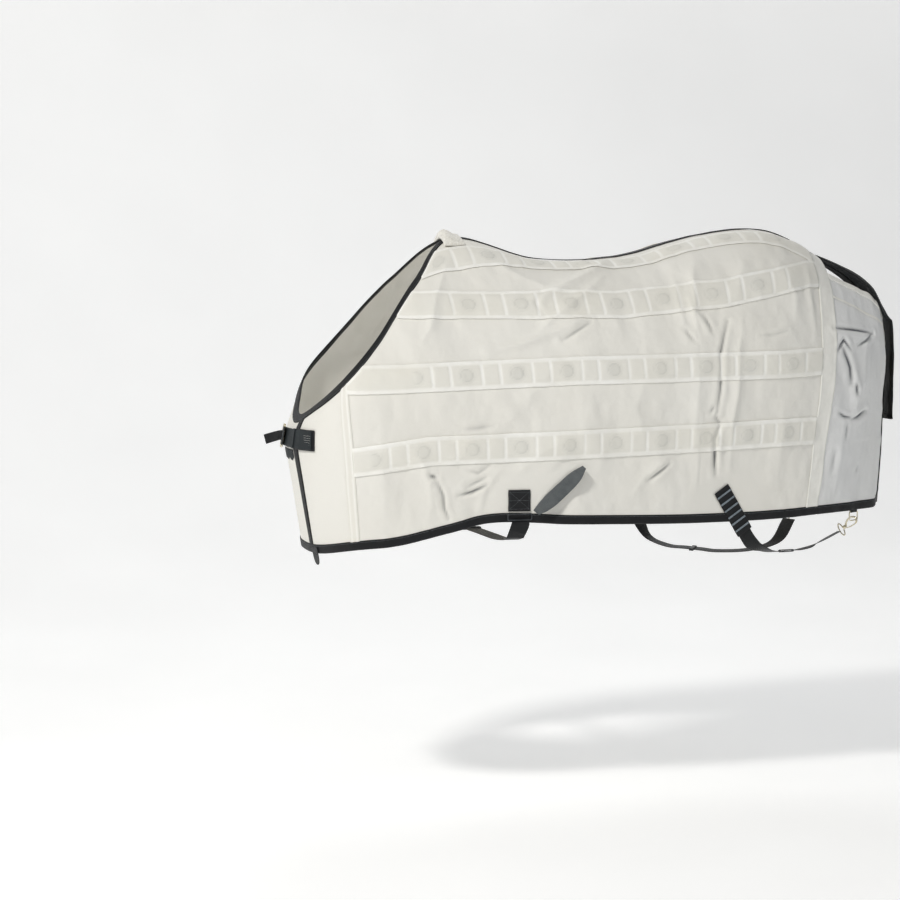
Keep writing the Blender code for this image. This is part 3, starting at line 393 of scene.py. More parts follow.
# %% Distances on the form
def rib_runs(s):
    """How far each fine step of the rib at s lies from its top, in metres, and its points."""
    points = surf(abs(s), FINE_V)
    run = np.concatenate([[0.0], np.cumsum(np.linalg.norm(np.diff(points, axis=0), axis=1))])
    return run, points


def run_at_height(s, z):
    run, points = rib_runs(s)
    return float(np.interp(-z, np.maximum.accumulate(-points[:, 2]) + 1e-9 * np.arange(len(run)), run))


def run_at_out(s, out):
    run, points = rib_runs(s)
    return float(np.interp(out, np.maximum.accumulate(points[:, 1]) + 1e-9 * np.arange(len(run)), run))


def arc_table():
    """Places round the side, and the distance to each from the first, at a little below the widest point."""
    ss = np.linspace(-1.0, LAST, 701)
    points = surf(np.abs(ss), 1.2)
    points[ss < 0, 1] *= -1
    steps = np.linalg.norm(np.diff(points, axis=0), axis=1)
    return ss, np.concatenate([[0.0], np.cumsum(steps)])


ARC_S, ARC = arc_table()


def arc_of(s):
    return np.interp(s, ARC_S, ARC)


def s_of(arc):
    return np.interp(arc, ARC, ARC_S)


print("round the side, chest to tail:", round(float(arc_of(LAST) - arc_of(0)), 3), "m")

# %% [markdown]
# ## Folds and wrinkles
#
# Cloth on a horse is never smooth. A fold is a line along the side, with a width and a depth.
# Soft noise, stretched downward, adds the slack between them.

# %% Tables of folds and creases
# Each fold: its points as (along, up), its width and its height off the form, all in metres.
RIDGES = (
    (((0.46, -0.055), (0.34, -0.105), (0.22, -0.150), (0.12, -0.190)), 0.013, 0.0130),
    (((0.400, -0.100), (0.300, -0.160), (0.205, -0.215), (0.150, -0.260)), 0.011, 0.0100),
    (((0.33, -0.200), (0.22, -0.245), (0.10, -0.285), (-0.02, -0.305)), 0.011, 0.0110),
    (((0.07, -0.060), (0.16, -0.110), (0.24, -0.145)), 0.012, 0.0060),
    (((0.03, -0.215), (0.10, -0.190), (0.19, -0.158), (0.29, -0.118)), 0.012, 0.0060),
    (((-0.04, -0.060), (-0.10, -0.160), (-0.13, -0.240), (-0.17, -0.290)), 0.013, 0.0070),
    (((0.66, -0.050), (0.63, -0.110), (0.612, -0.200), (0.655, -0.270)), 0.016, 0.0105),
    (((0.585, -0.090), (0.570, -0.170), (0.580, -0.260)), 0.014, 0.0060),
    (((0.60, -0.150), (0.61, -0.230), (0.62, -0.290)), 0.010, 0.0050),
    (((0.80, -0.060), (0.76, -0.120), (0.74, -0.170)), 0.018, 0.0060),
    (((0.90, -0.100), (0.93, -0.160), (0.92, -0.230)), 0.016, 0.0055),
    (((0.755, -0.200), (0.730, -0.300), (0.720, -0.400), (0.700, -0.500), (0.700, -0.640)), 0.016, 0.0085),
    (((0.600, -0.300), (0.600, -0.400), (0.590, -0.500), (0.600, -0.640)), 0.018, 0.0050),
    (((0.45, -0.330), (0.42, -0.450), (0.44, -0.560)), 0.024, 0.0045),
    (((0.20, -0.330), (0.12, -0.420), (0.05, -0.500)), 0.026, 0.0050),
    (((0.30, -0.500), (0.16, -0.560), (0.06, -0.640)), 0.022, 0.0060),
    (((0.52, -0.580), (0.44, -0.640), (0.40, -0.700)), 0.018, 0.0060),
    (((0.05, -0.600), (0.00, -0.660), (-0.02, -0.730)), 0.014, 0.0060),
    (((-0.18, -0.560), (-0.15, -0.640), (-0.14, -0.720)), 0.014, 0.0060),
    (((-0.28, -0.420), (-0.27, -0.600), (-0.26, -0.780)), 0.020, 0.0040),
    (((1.00, -0.060), (0.985, -0.150), (0.985, -0.260)), 0.014, 0.0070),
    (((0.93, -0.230), (0.86, -0.250), (0.80, -0.262)), 0.012, 0.0050),
    (((0.87, -0.400), (0.86, -0.520), (0.85, -0.700)), 0.022, 0.0050),
    (((1.10, -0.300), (1.13, -0.420), (1.13, -0.560)), 0.020, 0.0065),
    (((1.08, -0.480), (1.07, -0.600), (1.05, -0.720)), 0.020, 0.0060),
    (((1.20, -0.250), (1.17, -0.330), (1.16, -0.420)), 0.014, 0.0050),
)
# Each crease, on the near side only: its points, its width and its depth into the cloth.
CREASES = (
    (((0.706, -0.225), (0.690, -0.262), (0.675, -0.310), (0.668, -0.400), (0.655, -0.470)), 0.0060, 0.0070),
    (((0.655, -0.485), (0.668, -0.505), (0.650, -0.540), (0.652, -0.590), (0.655, -0.640)), 0.0065, 0.0090),
    (((0.637, -0.470), (0.645, -0.455)), 0.0050, 0.0050),
    (((-0.148, -0.622), (-0.132, -0.628)), 0.0060, 0.0080),
    (((-0.128, -0.640), (-0.113, -0.675), (-0.110, -0.710), (-0.098, -0.738)), 0.0055, 0.0065),
    (((-0.070, -0.676), (-0.035, -0.668), (0.002, -0.650)), 0.0060, 0.0075),
    (((-0.050, -0.655), (-0.020, -0.640), (0.000, -0.630)), 0.0060, 0.0050),
    (((-0.045, -0.610), (-0.020, -0.618), (0.010, -0.600)), 0.0060, 0.0040),
    (((-0.060, -0.500), (-0.020, -0.498), (0.020, -0.492)), 0.0080, 0.0035),
    (((0.455, -0.648), (0.480, -0.630), (0.515, -0.606)), 0.0060, 0.0060),
    (((0.190, -0.150), (0.170, -0.175), (0.185, -0.205)), 0.0060, 0.0050),
    (((0.310, -0.225), (0.240, -0.262), (0.225, -0.270)), 0.0060, 0.0050),
    (((0.640, -0.215), (0.655, -0.250)), 0.0060, 0.0050),
    (((0.575, -0.245), (0.600, -0.280)), 0.0060, 0.0040),
    (((0.890, -0.252), (0.850, -0.262), (0.800, -0.264)), 0.0050, 0.0030),
    (((1.055, -0.249), (1.140, -0.258), (1.219, -0.270)), 0.0055, 0.0088),
    (((1.219, -0.270), (1.180, -0.290), (1.145, -0.302)), 0.0055, 0.0072),
    (((1.062, -0.312), (1.088, -0.284), (1.110, -0.312)), 0.0055, 0.0085),
    (((1.078, -0.300), (1.094, -0.335), (1.104, -0.360), (1.108, -0.405)), 0.0085, 0.0105),
    (((1.124, -0.408), (1.128, -0.436)), 0.0060, 0.0090),
    (((1.064, -0.486), (1.085, -0.498), (1.107, -0.502)), 0.0055, 0.0080),
    (((1.114, -0.507), (1.140, -0.500), (1.174, -0.486)), 0.0060, 0.0085),
    (((1.090, -0.560), (1.095, -0.520)), 0.0060, 0.0055),
    (((1.050, -0.590), (1.040, -0.650)), 0.0080, 0.0035),
    (((1.140, -0.660), (1.150, -0.640)), 0.0070, 0.0030),
)


print("fold tables written")

# %% [markdown]
# ### Noise and lines
#
# Two building blocks shape the folds. Noise on a grid of random heights gives soft unevenness,
# with a fixed seed so that it never changes. The distance to a drawn line gives the large folds.

# %% Noise and distances to lines
def lattice_noise(x, z, cell_x, cell_z, seed):
    """Smooth noise from -1 to 1 over cells of the given size."""
    grid = np.random.default_rng(seed).uniform(-1, 1, (97, 97))
    p, q = x / cell_x + 40.0, z / cell_z + 40.0
    i, j = np.floor(p).astype(int), np.floor(q).astype(int)
    f, g = p - i, q - j
    f, g = f * f * (3 - 2 * f), g * g * (3 - 2 * g)
    i, j = i % 96, j % 96
    top = grid[i, j] * (1 - f) + grid[i + 1, j] * f
    low = grid[i, j + 1] * (1 - f) + grid[i + 1, j + 1] * f
    return top * (1 - g) + low * g


def near_line(x, z, line):
    """The distance to a line of points, and the share of its length at the nearest place."""
    line = np.array(line, float)
    lengths = np.linalg.norm(np.diff(line, axis=0), axis=1)
    starts = np.concatenate([[0.0], np.cumsum(lengths)])
    best, place = np.full(x.shape, 1e9), np.zeros(x.shape)
    for k, (a, b) in enumerate(zip(line, line[1:])):
        d = b - a
        t = np.clip(((x - a[0]) * d[0] + (z - a[1]) * d[1]) / (d @ d), 0, 1)
        far = np.hypot(x - a[0] - t * d[0], z - a[1] - t * d[1])
        closer = far < best
        best = np.where(closer, far, best)
        place = np.where(closer, (starts[k] + t * lengths[k]) / starts[-1], place)
    return best, place


print("fold helpers ready")

# %% [markdown]
# ### Heights of the folds
#
# A displacement modifier could push the cloth out, but each layer would fold on its own. One
# function of place is used for all of them. Stretched noise hangs downward, as slack does.

# %% Fold heights and shade
def relief(points, arcs, side):
    """How far the cloth stands off the form, by where it lies along and up the side."""
    x, z = points[..., 0], points[..., 2]
    along = arcs + 3.0 * (side > 0)
    drop = np.clip((-z - 0.12) / 0.55, 0, 1)
    out = 0.0052 * drop * lattice_noise(along, z, 0.085, 0.34, 3)
    out += 0.0034 * lattice_noise(along + 0.3 * z, z, 0.055, 0.110, 5)
    out += 0.0013 * lattice_noise(along, z, 0.024, 0.038, 7)
    out += 0.0004 * lattice_noise(along, z, 0.009, 0.011, 9)
    for line, width, height in RIDGES:
        far, place = near_line(x, z, line)
        fade = np.sin(math.pi * np.clip(place, 0.02, 0.98)) ** 0.7
        out += height * fade * np.exp(-((far / width) ** 1.4))
    for line, width, depth in CREASES if side < 0 else ():
        far, place = near_line(x, z, line)
        fade = np.sin(math.pi * np.clip(place, 0.08, 0.92)) ** 0.5
        out -= 0.75 * depth * fade * np.exp(-((far / width) ** 2))
        out += 0.30 * depth * fade * np.exp(-(((far - 2.3 * width) / (1.4 * width)) ** 2))
    return out


DARKEST_DEPTH = 0.0085


def shadow(points, side):
    """The share of painted shade, a dark blue-grey, inside each crease, strongest in the deepest ones."""
    x, z = points[..., 0], points[..., 2]
    out = np.zeros(x.shape)
    for line, width, depth in CREASES if side < 0 else ():
        far, place = near_line(x, z, line)
        fade = np.sin(math.pi * np.clip(place, 0.04, 0.96)) ** 0.6
        core = np.exp(-((far / (0.55 * width)) ** 2)) * fade
        out = np.maximum(out, core * np.clip(depth / DARKEST_DEPTH, 0, 1) ** 1.6)
    return out


print(len(RIDGES), "soft folds and", len(CREASES), "creases")

# %% [markdown]
# ## Nets and layers
#
# Every layer is laid out on a net: columns round the side, and distances down each rib from the
# top edge. All layers add the same folds to their height, so they never part from each other.

# %% Laying out a net
def smooth_step(low, high, values):
    t = np.clip((np.asarray(values, float) - low) / (high - low), 0, 1)
    return t * t * (3 - 2 * t)


# Places where a strap or patch is sewn on and the cloth lies flat, as (along, up, radius)
CALM_SPOTS = ((0.090, -0.700, 0.085), (0.715, -0.742, 0.105), (0.645, -0.742, 0.085),
              (0.190, -0.670, 0.060), (0.235, -0.630, 0.050))


def quiet(x, z, s, run):
    """The share of the folds that is left near edges, rows of magnets and sewn parts."""
    left = 0.15 + 0.85 * smooth_step(0.0, 0.06, run)
    left *= 0.10 + 0.90 * smooth_step(1.6, 2.8, np.abs(s))
    for row in (ROW_1, ROW_2, ROW_3):
        upper, lower = (np.interp(x, *zip(*line)) for line in row)
        inside = smooth_step(-0.006, 0.006, upper - z) * smooth_step(-0.006, 0.006, z - lower)
        left *= 1 - 0.35 * inside
    for cx, cz, radius in CALM_SPOTS:
        left *= 0.08 + 0.92 * smooth_step(0.75 * radius, 1.3 * radius, np.hypot(x - cx, z - cz))
    return left


print("calm places set")

# %% [markdown]
# ### From net to mesh
#
# A net gives the points, the way the cloth faces and how high it folds. The mesh gets a map in
# metres from the same net, so that threads keep their size over every curve.

# %% Nets and meshes
def lay_out(side, ss, runs):
    """Points, outward normals, fold heights and distances of a net on one side."""
    vs = np.array([np.interp(run, rib_runs(s)[0], FINE_V) for s, run in zip(ss, runs)])
    every = np.broadcast_to(np.abs(ss)[:, None], vs.shape)
    turn = np.ones(vs.shape + (3,))
    turn[..., 1] = (side * np.where(ss < 0, -1, 1))[:, None]
    points = (surf(every, vs) + np.array((0, HALF_SPLIT, 0))) * turn
    leans = normal(every, vs) * turn
    arcs = np.broadcast_to(arc_of(ss)[:, None], vs.shape)
    folds = relief(points, arcs, side) * quiet(points[..., 0], points[..., 2], every, runs)
    return points, leans, folds, np.stack([arcs, runs], axis=-1)


def object_from(name, points, faces, uvs, finish, values=None):
    """A mesh object with a UV map in metres, a finish and, where given, values at its points."""
    mesh = bpy.data.meshes.new(name)
    mesh.from_pydata(np.asarray(points, float).reshape(-1, 3).tolist(), [], faces)
    layer = mesh.uv_layers.new(name="cloth")
    corners = np.zeros(len(mesh.loops), np.int32)
    mesh.loops.foreach_get("vertex_index", corners)
    layer.data.foreach_set("uv", np.asarray(uvs, float).reshape(-1, 2)[corners].ravel())
    for key, value in (values or {}).items():
        mesh.attributes.new(key, "FLOAT", "POINT").data.foreach_set("value", np.ravel(value))
    mesh.materials.append(finish)
    mesh.shade_smooth()
    made = bpy.data.objects.new(name, mesh)
    bpy.context.scene.collection.objects.link(made)
    return made


def quads(n, m, start=0, flip=False):
    """The four-sided faces of a net of n by m points."""
    index = start + np.arange(n * m).reshape(n, m)
    made = np.stack([index[:-1, :-1], index[1:, :-1], index[1:, 1:], index[:-1, 1:]], axis=-1).reshape(-1, 4)
    return (made[:, ::-1] if flip else made).tolist()


def rim_of(n, m):
    """The indices round a net's border, and the neighbour just inside each one."""
    index = np.arange(n * m).reshape(n, m)
    ring = list(index[:-1, 0]) + list(index[-1, :-1]) + list(index[:0:-1, -1]) + list(index[0, :0:-1])
    inner = []
    for k in ring:
        i, j = divmod(int(k), m)
        inner.append(index[min(max(i, 1), n - 2) if n > 2 else i, min(max(j, 1), m - 2) if m > 2 else j])
    return np.array(ring), np.array(inner)


print("net builder ready")

# %% [markdown]
# ### Closed layers
#
# Tapes are thin solids. A Solidify modifier would give them sharp edges. Here the top and the
# underside meet in a rounded rim, which catches the light as a woven edge does.

# %% Shells with rounded rims
def shell(name, base, leans, low, high, uvs, finish, side=1, rim=0.5, values=None):
    """A closed layer between two heights over a net, with a rounded rim."""
    n, m = base.shape[:2]
    top = (base + leans * np.broadcast_to(high, (n, m))[..., None]).reshape(-1, 3)
    under = (base + leans * np.broadcast_to(low, (n, m))[..., None]).reshape(-1, 3)
    ring, inner = rim_of(n, m)
    thick = np.linalg.norm(top[ring] - under[ring], axis=1, keepdims=True)
    middle = 0.5 * (top[ring] + under[ring]) + unit(under[ring] - under[inner]) * thick * rim
    points = np.concatenate([top, under, middle])
    count, size = n * m, len(ring)
    faces = quads(n, m, 0, side < 0) + quads(n, m, count, side > 0)
    for k in range(size):
        a, b = int(ring[k]), int(ring[(k + 1) % size])
        c, d = 2 * count + k, 2 * count + (k + 1) % size
        pair = [[a, b, d, c], [c, d, count + b, count + a]]
        faces += [f[::-1] for f in pair] if side > 0 else pair
    flat = uvs.reshape(-1, 2)
    every = {key: np.concatenate([np.ravel(v), np.ravel(v), np.ravel(v)[ring]])
             for key, v in (values or {}).items()}
    return object_from(name, points, faces, np.concatenate([flat, flat, flat[ring]]), finish, every)


print("shell builder ready")

# %% [markdown]
# ### Places on the net
#
# These helpers choose the columns round the side and the distances down each rib.

# %% Columns and runs
def columns(first, last, step):
    """Places round the side between two distances, no further apart than the step."""
    return s_of(np.linspace(first, last, max(2, math.ceil((last - first) / step) + 1)))


def between(ss, start, end, count):
    """Runs down each rib between two distances, which may differ from rib to rib."""
    f = np.linspace(0, 1, count)
    start, end = np.broadcast_to(start, (len(ss),)), np.broadcast_to(end, (len(ss),))
    return start[:, None] * (1 - f) + end[:, None] * f


def hem_run(ss):
    """The distance down each rib from the top edge to the hem."""
    return np.array([rib_runs(s)[0][-1] for s in ss])


def on_net(name, side, ss, runs, low, high, finish, rim=0.5, values=None):
    """A closed layer on one side between two heights, with the folds added to both."""
    base, leans, folds, uvs = lay_out(side, ss, runs)
    return shell(name, base, leans, low + folds, high + folds, uvs, finish, side, rim, values)


def tag_of(side):
    return "near" if side < 0 else "off"


print("column helpers ready")

# %% [markdown]
# ### Seating a piece
#
# Each finished piece moves with a body of the fixed model, and hides the plain solids that it replaces.

# %% Seating and joining
def seat(piece, body, slot, *nodes):
    """The piece rides on a body and stands for the nodes given."""
    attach(piece, body)
    if nodes:
        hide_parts(*nodes)
    return piece


def joined(name, parts):
    """One object from several, keeping their materials."""
    with bpy.context.temp_override(active_object=parts[0], object=parts[0], selected_objects=parts,
                                   selected_editable_objects=parts):
        bpy.ops.object.join()
    parts[0].name = name
    parts[0].data.name = name
    return parts[0]


print("net builders ready")

# %% [markdown]
# ## Body and rear panels
#
# Each panel is one layer of open mesh. The rear panel starts at its own top edge, which falls
# toward the tail. A cloth simulation could drape it over a horse's shape, but sewn rows and
# bindings would then need to follow it. A fine net with the folds in it keeps every layer together.

# %% Body and rear panels
MESH_STEP = 0.0045
FRONT = {-1: LAP, 1: -LAP}


def rear_start(ss):
    """Where each rib of the rear panel starts, which falls away toward the tail."""
    outs = np.interp(ss, (MAIN_END, LAST), (0.118, 0.030))
    return np.array([run_at_out(s, out) for s, out in zip(ss, outs)])


def open_panel(name, side, ss, runs, finish):
    base, leans, folds, uvs = lay_out(side, ss, runs)
    points = base + leans * (CLOTH / 2 + folds)[..., None]
    n, m = runs.shape
    return object_from(name, points, quads(n, m, 0, side < 0), uvs, finish, {"shade": shadow(base, side)})


def area_of(piece):
    """The area of a piece's faces, in square metres."""
    return sum(polygon.area for polygon in piece.data.polygons)


for side in (-1, 1):
    tag = tag_of(side)
    ss = columns(arc_of(FRONT[side]), arc_of(MAIN_END), MESH_STEP)
    runs = between(ss, 0.0, hem_run(ss), 200)
    body = open_panel("body_cloth_" + tag, side, ss, runs, white_mesh)
    seat(body, "sheet", "white_mesh", "body_panel_" + tag)
    flat = (float(runs.max()), float(arc_of(ss[-1]) - arc_of(ss[0])))
    ss = columns(arc_of(MAIN_END) + REAR_GAP, arc_of(LAST), MESH_STEP)
    start = rear_start(ss)
    # The rear panel takes the greyer copy of the mesh, as painted shade.
    rear = open_panel("rear_cloth_" + tag, side, ss, between(ss, start, hem_run(ss), 170), shaded_rear_mesh)
    seat(rear, "sheet", "white_mesh", "rear_panel_" + tag)
    flat = (float((hem_run(ss) - start).max()), float(arc_of(ss[-1]) - arc_of(ss[0])))
    print(tag, "body cloth", round(area_of(body), 2), "m2, rear cloth", round(area_of(rear), 2), "m2")

# %% [markdown]
# ## Bindings, seams and facings
#
# Black binding wraps the neck edge, the front edge, the hem and the tail edge. White tape covers
# the shoulder seam and the facing in front of the rear panel. The channels and the shoulder tape
# share one cloth, which takes the places of its discs and tapes from values stored on the mesh.

# %% Channel cloth
def channel_finish():
    made, tree, shader = new_material("double_knit_channel_white", 0.8, Sheen_Weight=0.12)
    a, b = threads(tree, 1.4, 1.4)
    weave = add(tree, "ShaderNodeMath", {0: a, 1: b}, operation="MAXIMUM").outputs[0]
    cloth = tinted(tree, "#DEDCD3", "#EFEDE5", weave)
    # The disc value greys the cloth over each magnet, and its thin rings round the rim are painted shade where
    # the cloth bulges over the magnet.
    disc = add(tree, "ShaderNodeAttribute", attribute_name="disc").outputs["Fac"]
    shaded = tinted(tree, cloth, "#B4B4AE", disc)
    tape = add(tree, "ShaderNodeAttribute", attribute_name="tape").outputs["Fac"]
    clean = tinted(tree, shaded, "#FCFBF6", tape)
    soiled = tinted(tree, clean, "#E4E0D2", blotches(tree, 7.0, 0.0, 0.35))
    tree.links.new(soiled, shader.inputs["Base Color"])
    bumped(tree, shader, weave, 0.0003, 0.6)
    return made


channel_cloth = channel_finish()
print("channel cloth made")

# %% [markdown]
# ### Laying the tapes
#
# Each tape could be a curve with a flat profile, but a profile cuts through the folds between its
# points. A strip of the same net as the cloth follows every fold, so that is used instead. A
# binding starts under the cloth and ends above it, which makes it look folded over the edge.

# %% Bindings and tapes
BIND_LOW, BIND_HIGH = -0.0014, CLOTH + CLEAR + TAPE
TAPE_LOW = CLOTH + 0.0002
HEM_WIDTH = 0.020
TOP_WIDTH = 0.016
NECK_END = 4.97


def edge_taper(ss):
    """The neck binding's width, which narrows to the spine tape's at the withers."""
    return np.interp(ss, (4.3, 5.0), (EDGE_WIDTH, SPINE_HALF))


for side in (-1, 1):
    tag = tag_of(side)
    front, end = arc_of(FRONT[side]), arc_of(MAIN_END)
    ss = columns(front, arc_of(NECK_END), 0.005)
    neck = on_net("neck", side, ss, between(ss, 0.0, edge_taper(np.abs(ss)), 7), BIND_LOW, BIND_HIGH,
                  black_tape)
    ss = columns(front, front + FRONT_EDGE_WIDTH, 0.003)
    edge = on_net("edge", side, ss, between(ss, 0.004, hem_run(ss) - 0.003, 110), BIND_LOW,
                  BIND_HIGH - 0.0001, black_tape)
    ss = columns(front, end, 0.006)
    hem = on_net("hem", side, ss, between(ss, hem_run(ss) - HEM_WIDTH, hem_run(ss), 6), BIND_LOW,
                 BIND_HIGH + 0.0002, black_tape)
    seat(joined("edge_trim_" + tag, [neck, edge, hem]), "sheet", "black_binding", "edge_binding_" + tag)

    last = arc_of(LAST)
    ss = columns(last - REAR_EDGE_WIDTH, last, 0.003)
    tail = on_net("tail", side, ss, between(ss, rear_start(ss) + 0.004, hem_run(ss) - 0.003, 120),
                  BIND_LOW, BIND_HIGH, black_tape)
    ss = columns(end + REAR_GAP, last, 0.006)
    hem = on_net("hem", side, ss, between(ss, hem_run(ss) - HEM_WIDTH, hem_run(ss), 6), BIND_LOW,
                 BIND_HIGH + 0.0002, black_tape)
    seat(joined("rear_trim_" + tag, [tail, hem]), "sheet", "black_binding", "rear_binding_" + tag)
    start = rear_start(ss)
    top = on_net("rear_top_trim_" + tag, side, ss, between(ss, start, start + TOP_WIDTH, 6),
                 BIND_LOW, BIND_HIGH, white_tape)
    drop = start + np.linspace(0.080, 0.066, len(ss))
    seam_line = on_net("seam", side, ss, between(ss, drop, drop + 0.008, 5), TAPE_LOW,
                       BIND_HIGH - 0.0008, white_tape)
    seat(joined("rear_top_trim_" + tag, [top, seam_line]), "sheet", "cream_tape", "rear_top_binding_" + tag)

    seam = arc_of(SEAM_STATION)
    ss = columns(seam - SEAM_WIDTH / 2, seam + SEAM_WIDTH / 2, 0.003)
    across = np.linspace(-1, 1, len(ss))[:, None]
    lines = np.exp(-((np.abs(across) - 0.55) / 0.16) ** 2)
    runs = between(ss, edge_taper(ss), hem_run(ss) - HEM_WIDTH - 0.001, 120)
    seam_tape = on_net("shoulder_tape_" + tag, side, ss, runs, TAPE_LOW, BIND_HIGH - 0.0010 + 0.0008 * lines,
                       channel_cloth, values={"tape": 0.85 * lines + 0 * runs, "disc": 0 * runs})
    seat(seam_tape, "sheet", "cream_tape", "shoulder_seam_" + tag)
    ss = columns(end - FACING_WIDTH, end, 0.0035)
    across = np.linspace(0, 1, len(ss))[:, None]
    ridge = 0.0007 * np.exp(-((across - 0.08) / 0.05) ** 2)
    ridge = ridge + 0.0007 * np.exp(-((across - 0.9) / 0.05) ** 2)
    runs = between(ss, SPINE_HALF, hem_run(ss) - HEM_WIDTH - 0.001, 150)
    facing = on_net("facing_tape_" + tag, side, ss, runs, TAPE_LOW, BIND_HIGH - 0.0006 + ridge, white_tape)
    seat(facing, "sheet", "cream_tape", "rear_facing_" + tag)

print("bindings and tapes laid")

# %% [markdown]
# ## The spine tape
#
# One black tape runs along the top line and folds down onto both panels. Two separate halves
# would leave a crack along the middle, so the near and off nets are joined into one.

# %% Spine tape
def spine_tape():
    """One shell across both sides: the near rows run up to the top line and the off rows down."""
    ss = columns(arc_of(NECK_END), arc_of(MAIN_END), 0.006)
    rows = np.array((SPINE_HALF + 0.001, 0.009, 0.006, 0.003, 0.0))
    near = lay_out(-1, ss, np.tile(rows, (len(ss), 1)))
    off = lay_out(1, ss, np.tile(rows[-2::-1], (len(ss), 1)))
    base, leans, folds, uvs = (np.concatenate([a, b], axis=1) for a, b in zip(near, off))
    base[:, 4, 1], leans[:, 4, 1] = 0.0, 0.0
    leans = unit(leans)
    folds[:, 4] = 0.5 * (folds[:, 3] + folds[:, 5])
    uvs[:, :4, 1] *= -1
    low, high = CLOTH + 0.0004, CLOTH + 2 * CLEAR + TAPE
    made = shell("spine_trim", base, leans, low + folds, high + 0.0006 + folds, uvs, black_tape, 1)
    return seat(made, "sheet", "black_binding", "spine_tape")


spine_tape()
print("spine tape laid")

# %% [markdown]
# ## Channels with magnets
#
# Rows of stitched channels cross each side. Each pocket holds a round magnet, which shows as a
# raised disc. White tape edges the channel, and short tapes part its pockets.

# %% Channels with magnets
PITCH = 0.132
POCKET_HALF = 0.043
CHANNEL_STEPS = 25
ROWS = (None, ROW_1, ROW_2, ROW_3)
# Where each row's magnets start and end along the body
MAGNET_X = ((-0.10, 0.90), (-0.08, 0.90), (-0.17, 0.95), (-0.30, 0.95))


def row_runs(k, ss):
    """The distances down each rib of a row's upper and lower edges."""
    if k == 0:
        return (np.array([run_at_out(s, out) for s in ss]) for out in ROW_0_OUT)
    xs = surf(ss, 1.0)[:, 0]
    return (np.array([run_at_height(s, z) for s, z in zip(ss, np.interp(xs, *zip(*line)))])
            for line in ROWS[k])


print("row helpers ready")

# %% [markdown]
# ### One channel
#
# A channel could be two tapes with discs between them. Its cloth hides the discs, though, and
# only their outline shows. So one strip carries all of it as heights: the padded middle, a low
# disc for each magnet, the dividers and the two edging tapes.

# %% One channel
def channel(k, side):
    """One row on one side: a padded strip with discs, dividers and edging tapes raised on it."""
    tag = tag_of(side)
    node = f"channel_{k}_{tag}"
    low_x, high_x = (corner[0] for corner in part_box(node))
    ss = columns(arc_of(SEAM_STATION + 0.1), arc_of(MAIN_END) - FACING_WIDTH, 0.004)
    upper, lower = row_runs(k, ss)
    middle = np.array([np.interp(0.5 * (a + b), rib_runs(s)[0], FINE_V)
                       for s, a, b in zip(ss, upper, lower)])
    xs = surf(ss, middle)[:, 0]
    upper = np.maximum(upper, edge_taper(ss) + 0.003)
    kept = (xs > low_x - 0.12) & (xs < high_x + 0.010) & (lower - upper > 0.005)
    ss, upper, lower = ss[kept], upper[kept], lower[kept]
    f = np.linspace(0, 1, CHANNEL_STEPS)
    arcs = arc_of(ss)
    tall = (lower - upper)[:, None]
    down = f * tall
    place = (arcs - arcs[0] - 0.055)[:, None]
    near = np.round(place / PITCH) * PITCH
    far = np.hypot(place - near, (f - 0.5) * tall)
    reach = MAGNET_X[k]
    middle_x = surf(ss, 1.0)[:, 0][:, None]
    holds = smooth_step(reach[0] - 0.01, reach[0] + 0.01, middle_x)
    holds = holds * smooth_step(-reach[1] - 0.01, -reach[1] + 0.01, -middle_x)
    edge = np.minimum(down, tall - down)
    gap = np.abs(np.abs(place - near) - POCKET_HALF)
    divider = (1 - smooth_step(0.003, 0.0045, gap)) * holds
    rim = 1 - smooth_step(0.0085, 0.0105, edge)
    across = arcs[:, None] + 0 * down
    lumps = 0.5 + 0.5 * lattice_noise(across, down, 0.006, 0.02, 31 + k)
    puff = 0.0021 * smooth_step(0.006, 0.020, edge)
    disc = (1 - smooth_step(0.0145, 0.017, far)) * holds
    ring = np.exp(-((far - 0.0215) / 0.0022) ** 2) * holds
    high = 0.0036 + puff + 0.0013 * disc + 0.0005 * ring - 0.0012 * divider * (rim < 0.5)
    high += 0.0005 * rim + 0.0004 * lumps * np.maximum(rim, divider)
    high += 0.0006 * lattice_noise(across, down, 0.030, 0.028, 50 + k)
    tape = np.maximum(rim, divider) * (0.82 + 0.18 * lumps)
    runs = between(ss, upper, lower, CHANNEL_STEPS)
    # The rim rings darken the colour as painted shade round each magnet's bulge.
    outline = np.exp(-((far - 0.0165) / 0.0013) ** 2) * holds
    values = {"disc": 0.22 * disc + 0.40 * outline + 0.14 * ring, "tape": tape}
    made = on_net(f"channel_cloth_{k}_{tag}", side, ss, runs, CLOTH + 0.0003, high, channel_cloth,
                  values=values)
    nodes = [node] + ([f"magnets_{k}_{tag}"] if k else [])
    return seat(made, "sheet", "white_mesh", *nodes)


for side in (-1, 1):
    for k in range(4):
        channel(k, side)
print("eight channels sewn")

# %% [markdown]
# ## Straps and webbing
#
# A strap is a flat ribbon swept along its route, with rounded selvedges. Places on the cloth come
# from the same form, so each strap starts where it is sewn on. Straps aren't simulated, because
# their ends are fixed and their routes are short.

# %% Places and paths
WEB = 0.0018
CHEST_HEIGHT = -0.535
CHEST_WEB_WIDTH = 0.050
BILLET_WIDTH = 0.027
BELLY_WEB_WIDTH = 0.050
LEG_WEB_WIDTH = 0.038
WEB_HEIGHT = 0.0072
SEWN_ON_CLOTH = CLOTH + CLEAR + WEB / 2
SEWN_ON_PATCH = SEWN_ON_CLOTH + WEB + CLEAR
SLIDER_ROOM = 0.0008
TIGHTEST_BEND = 0.0022
BAND_STEP = 0.0012


def one(vector):
    return unit(np.asarray(vector, float))


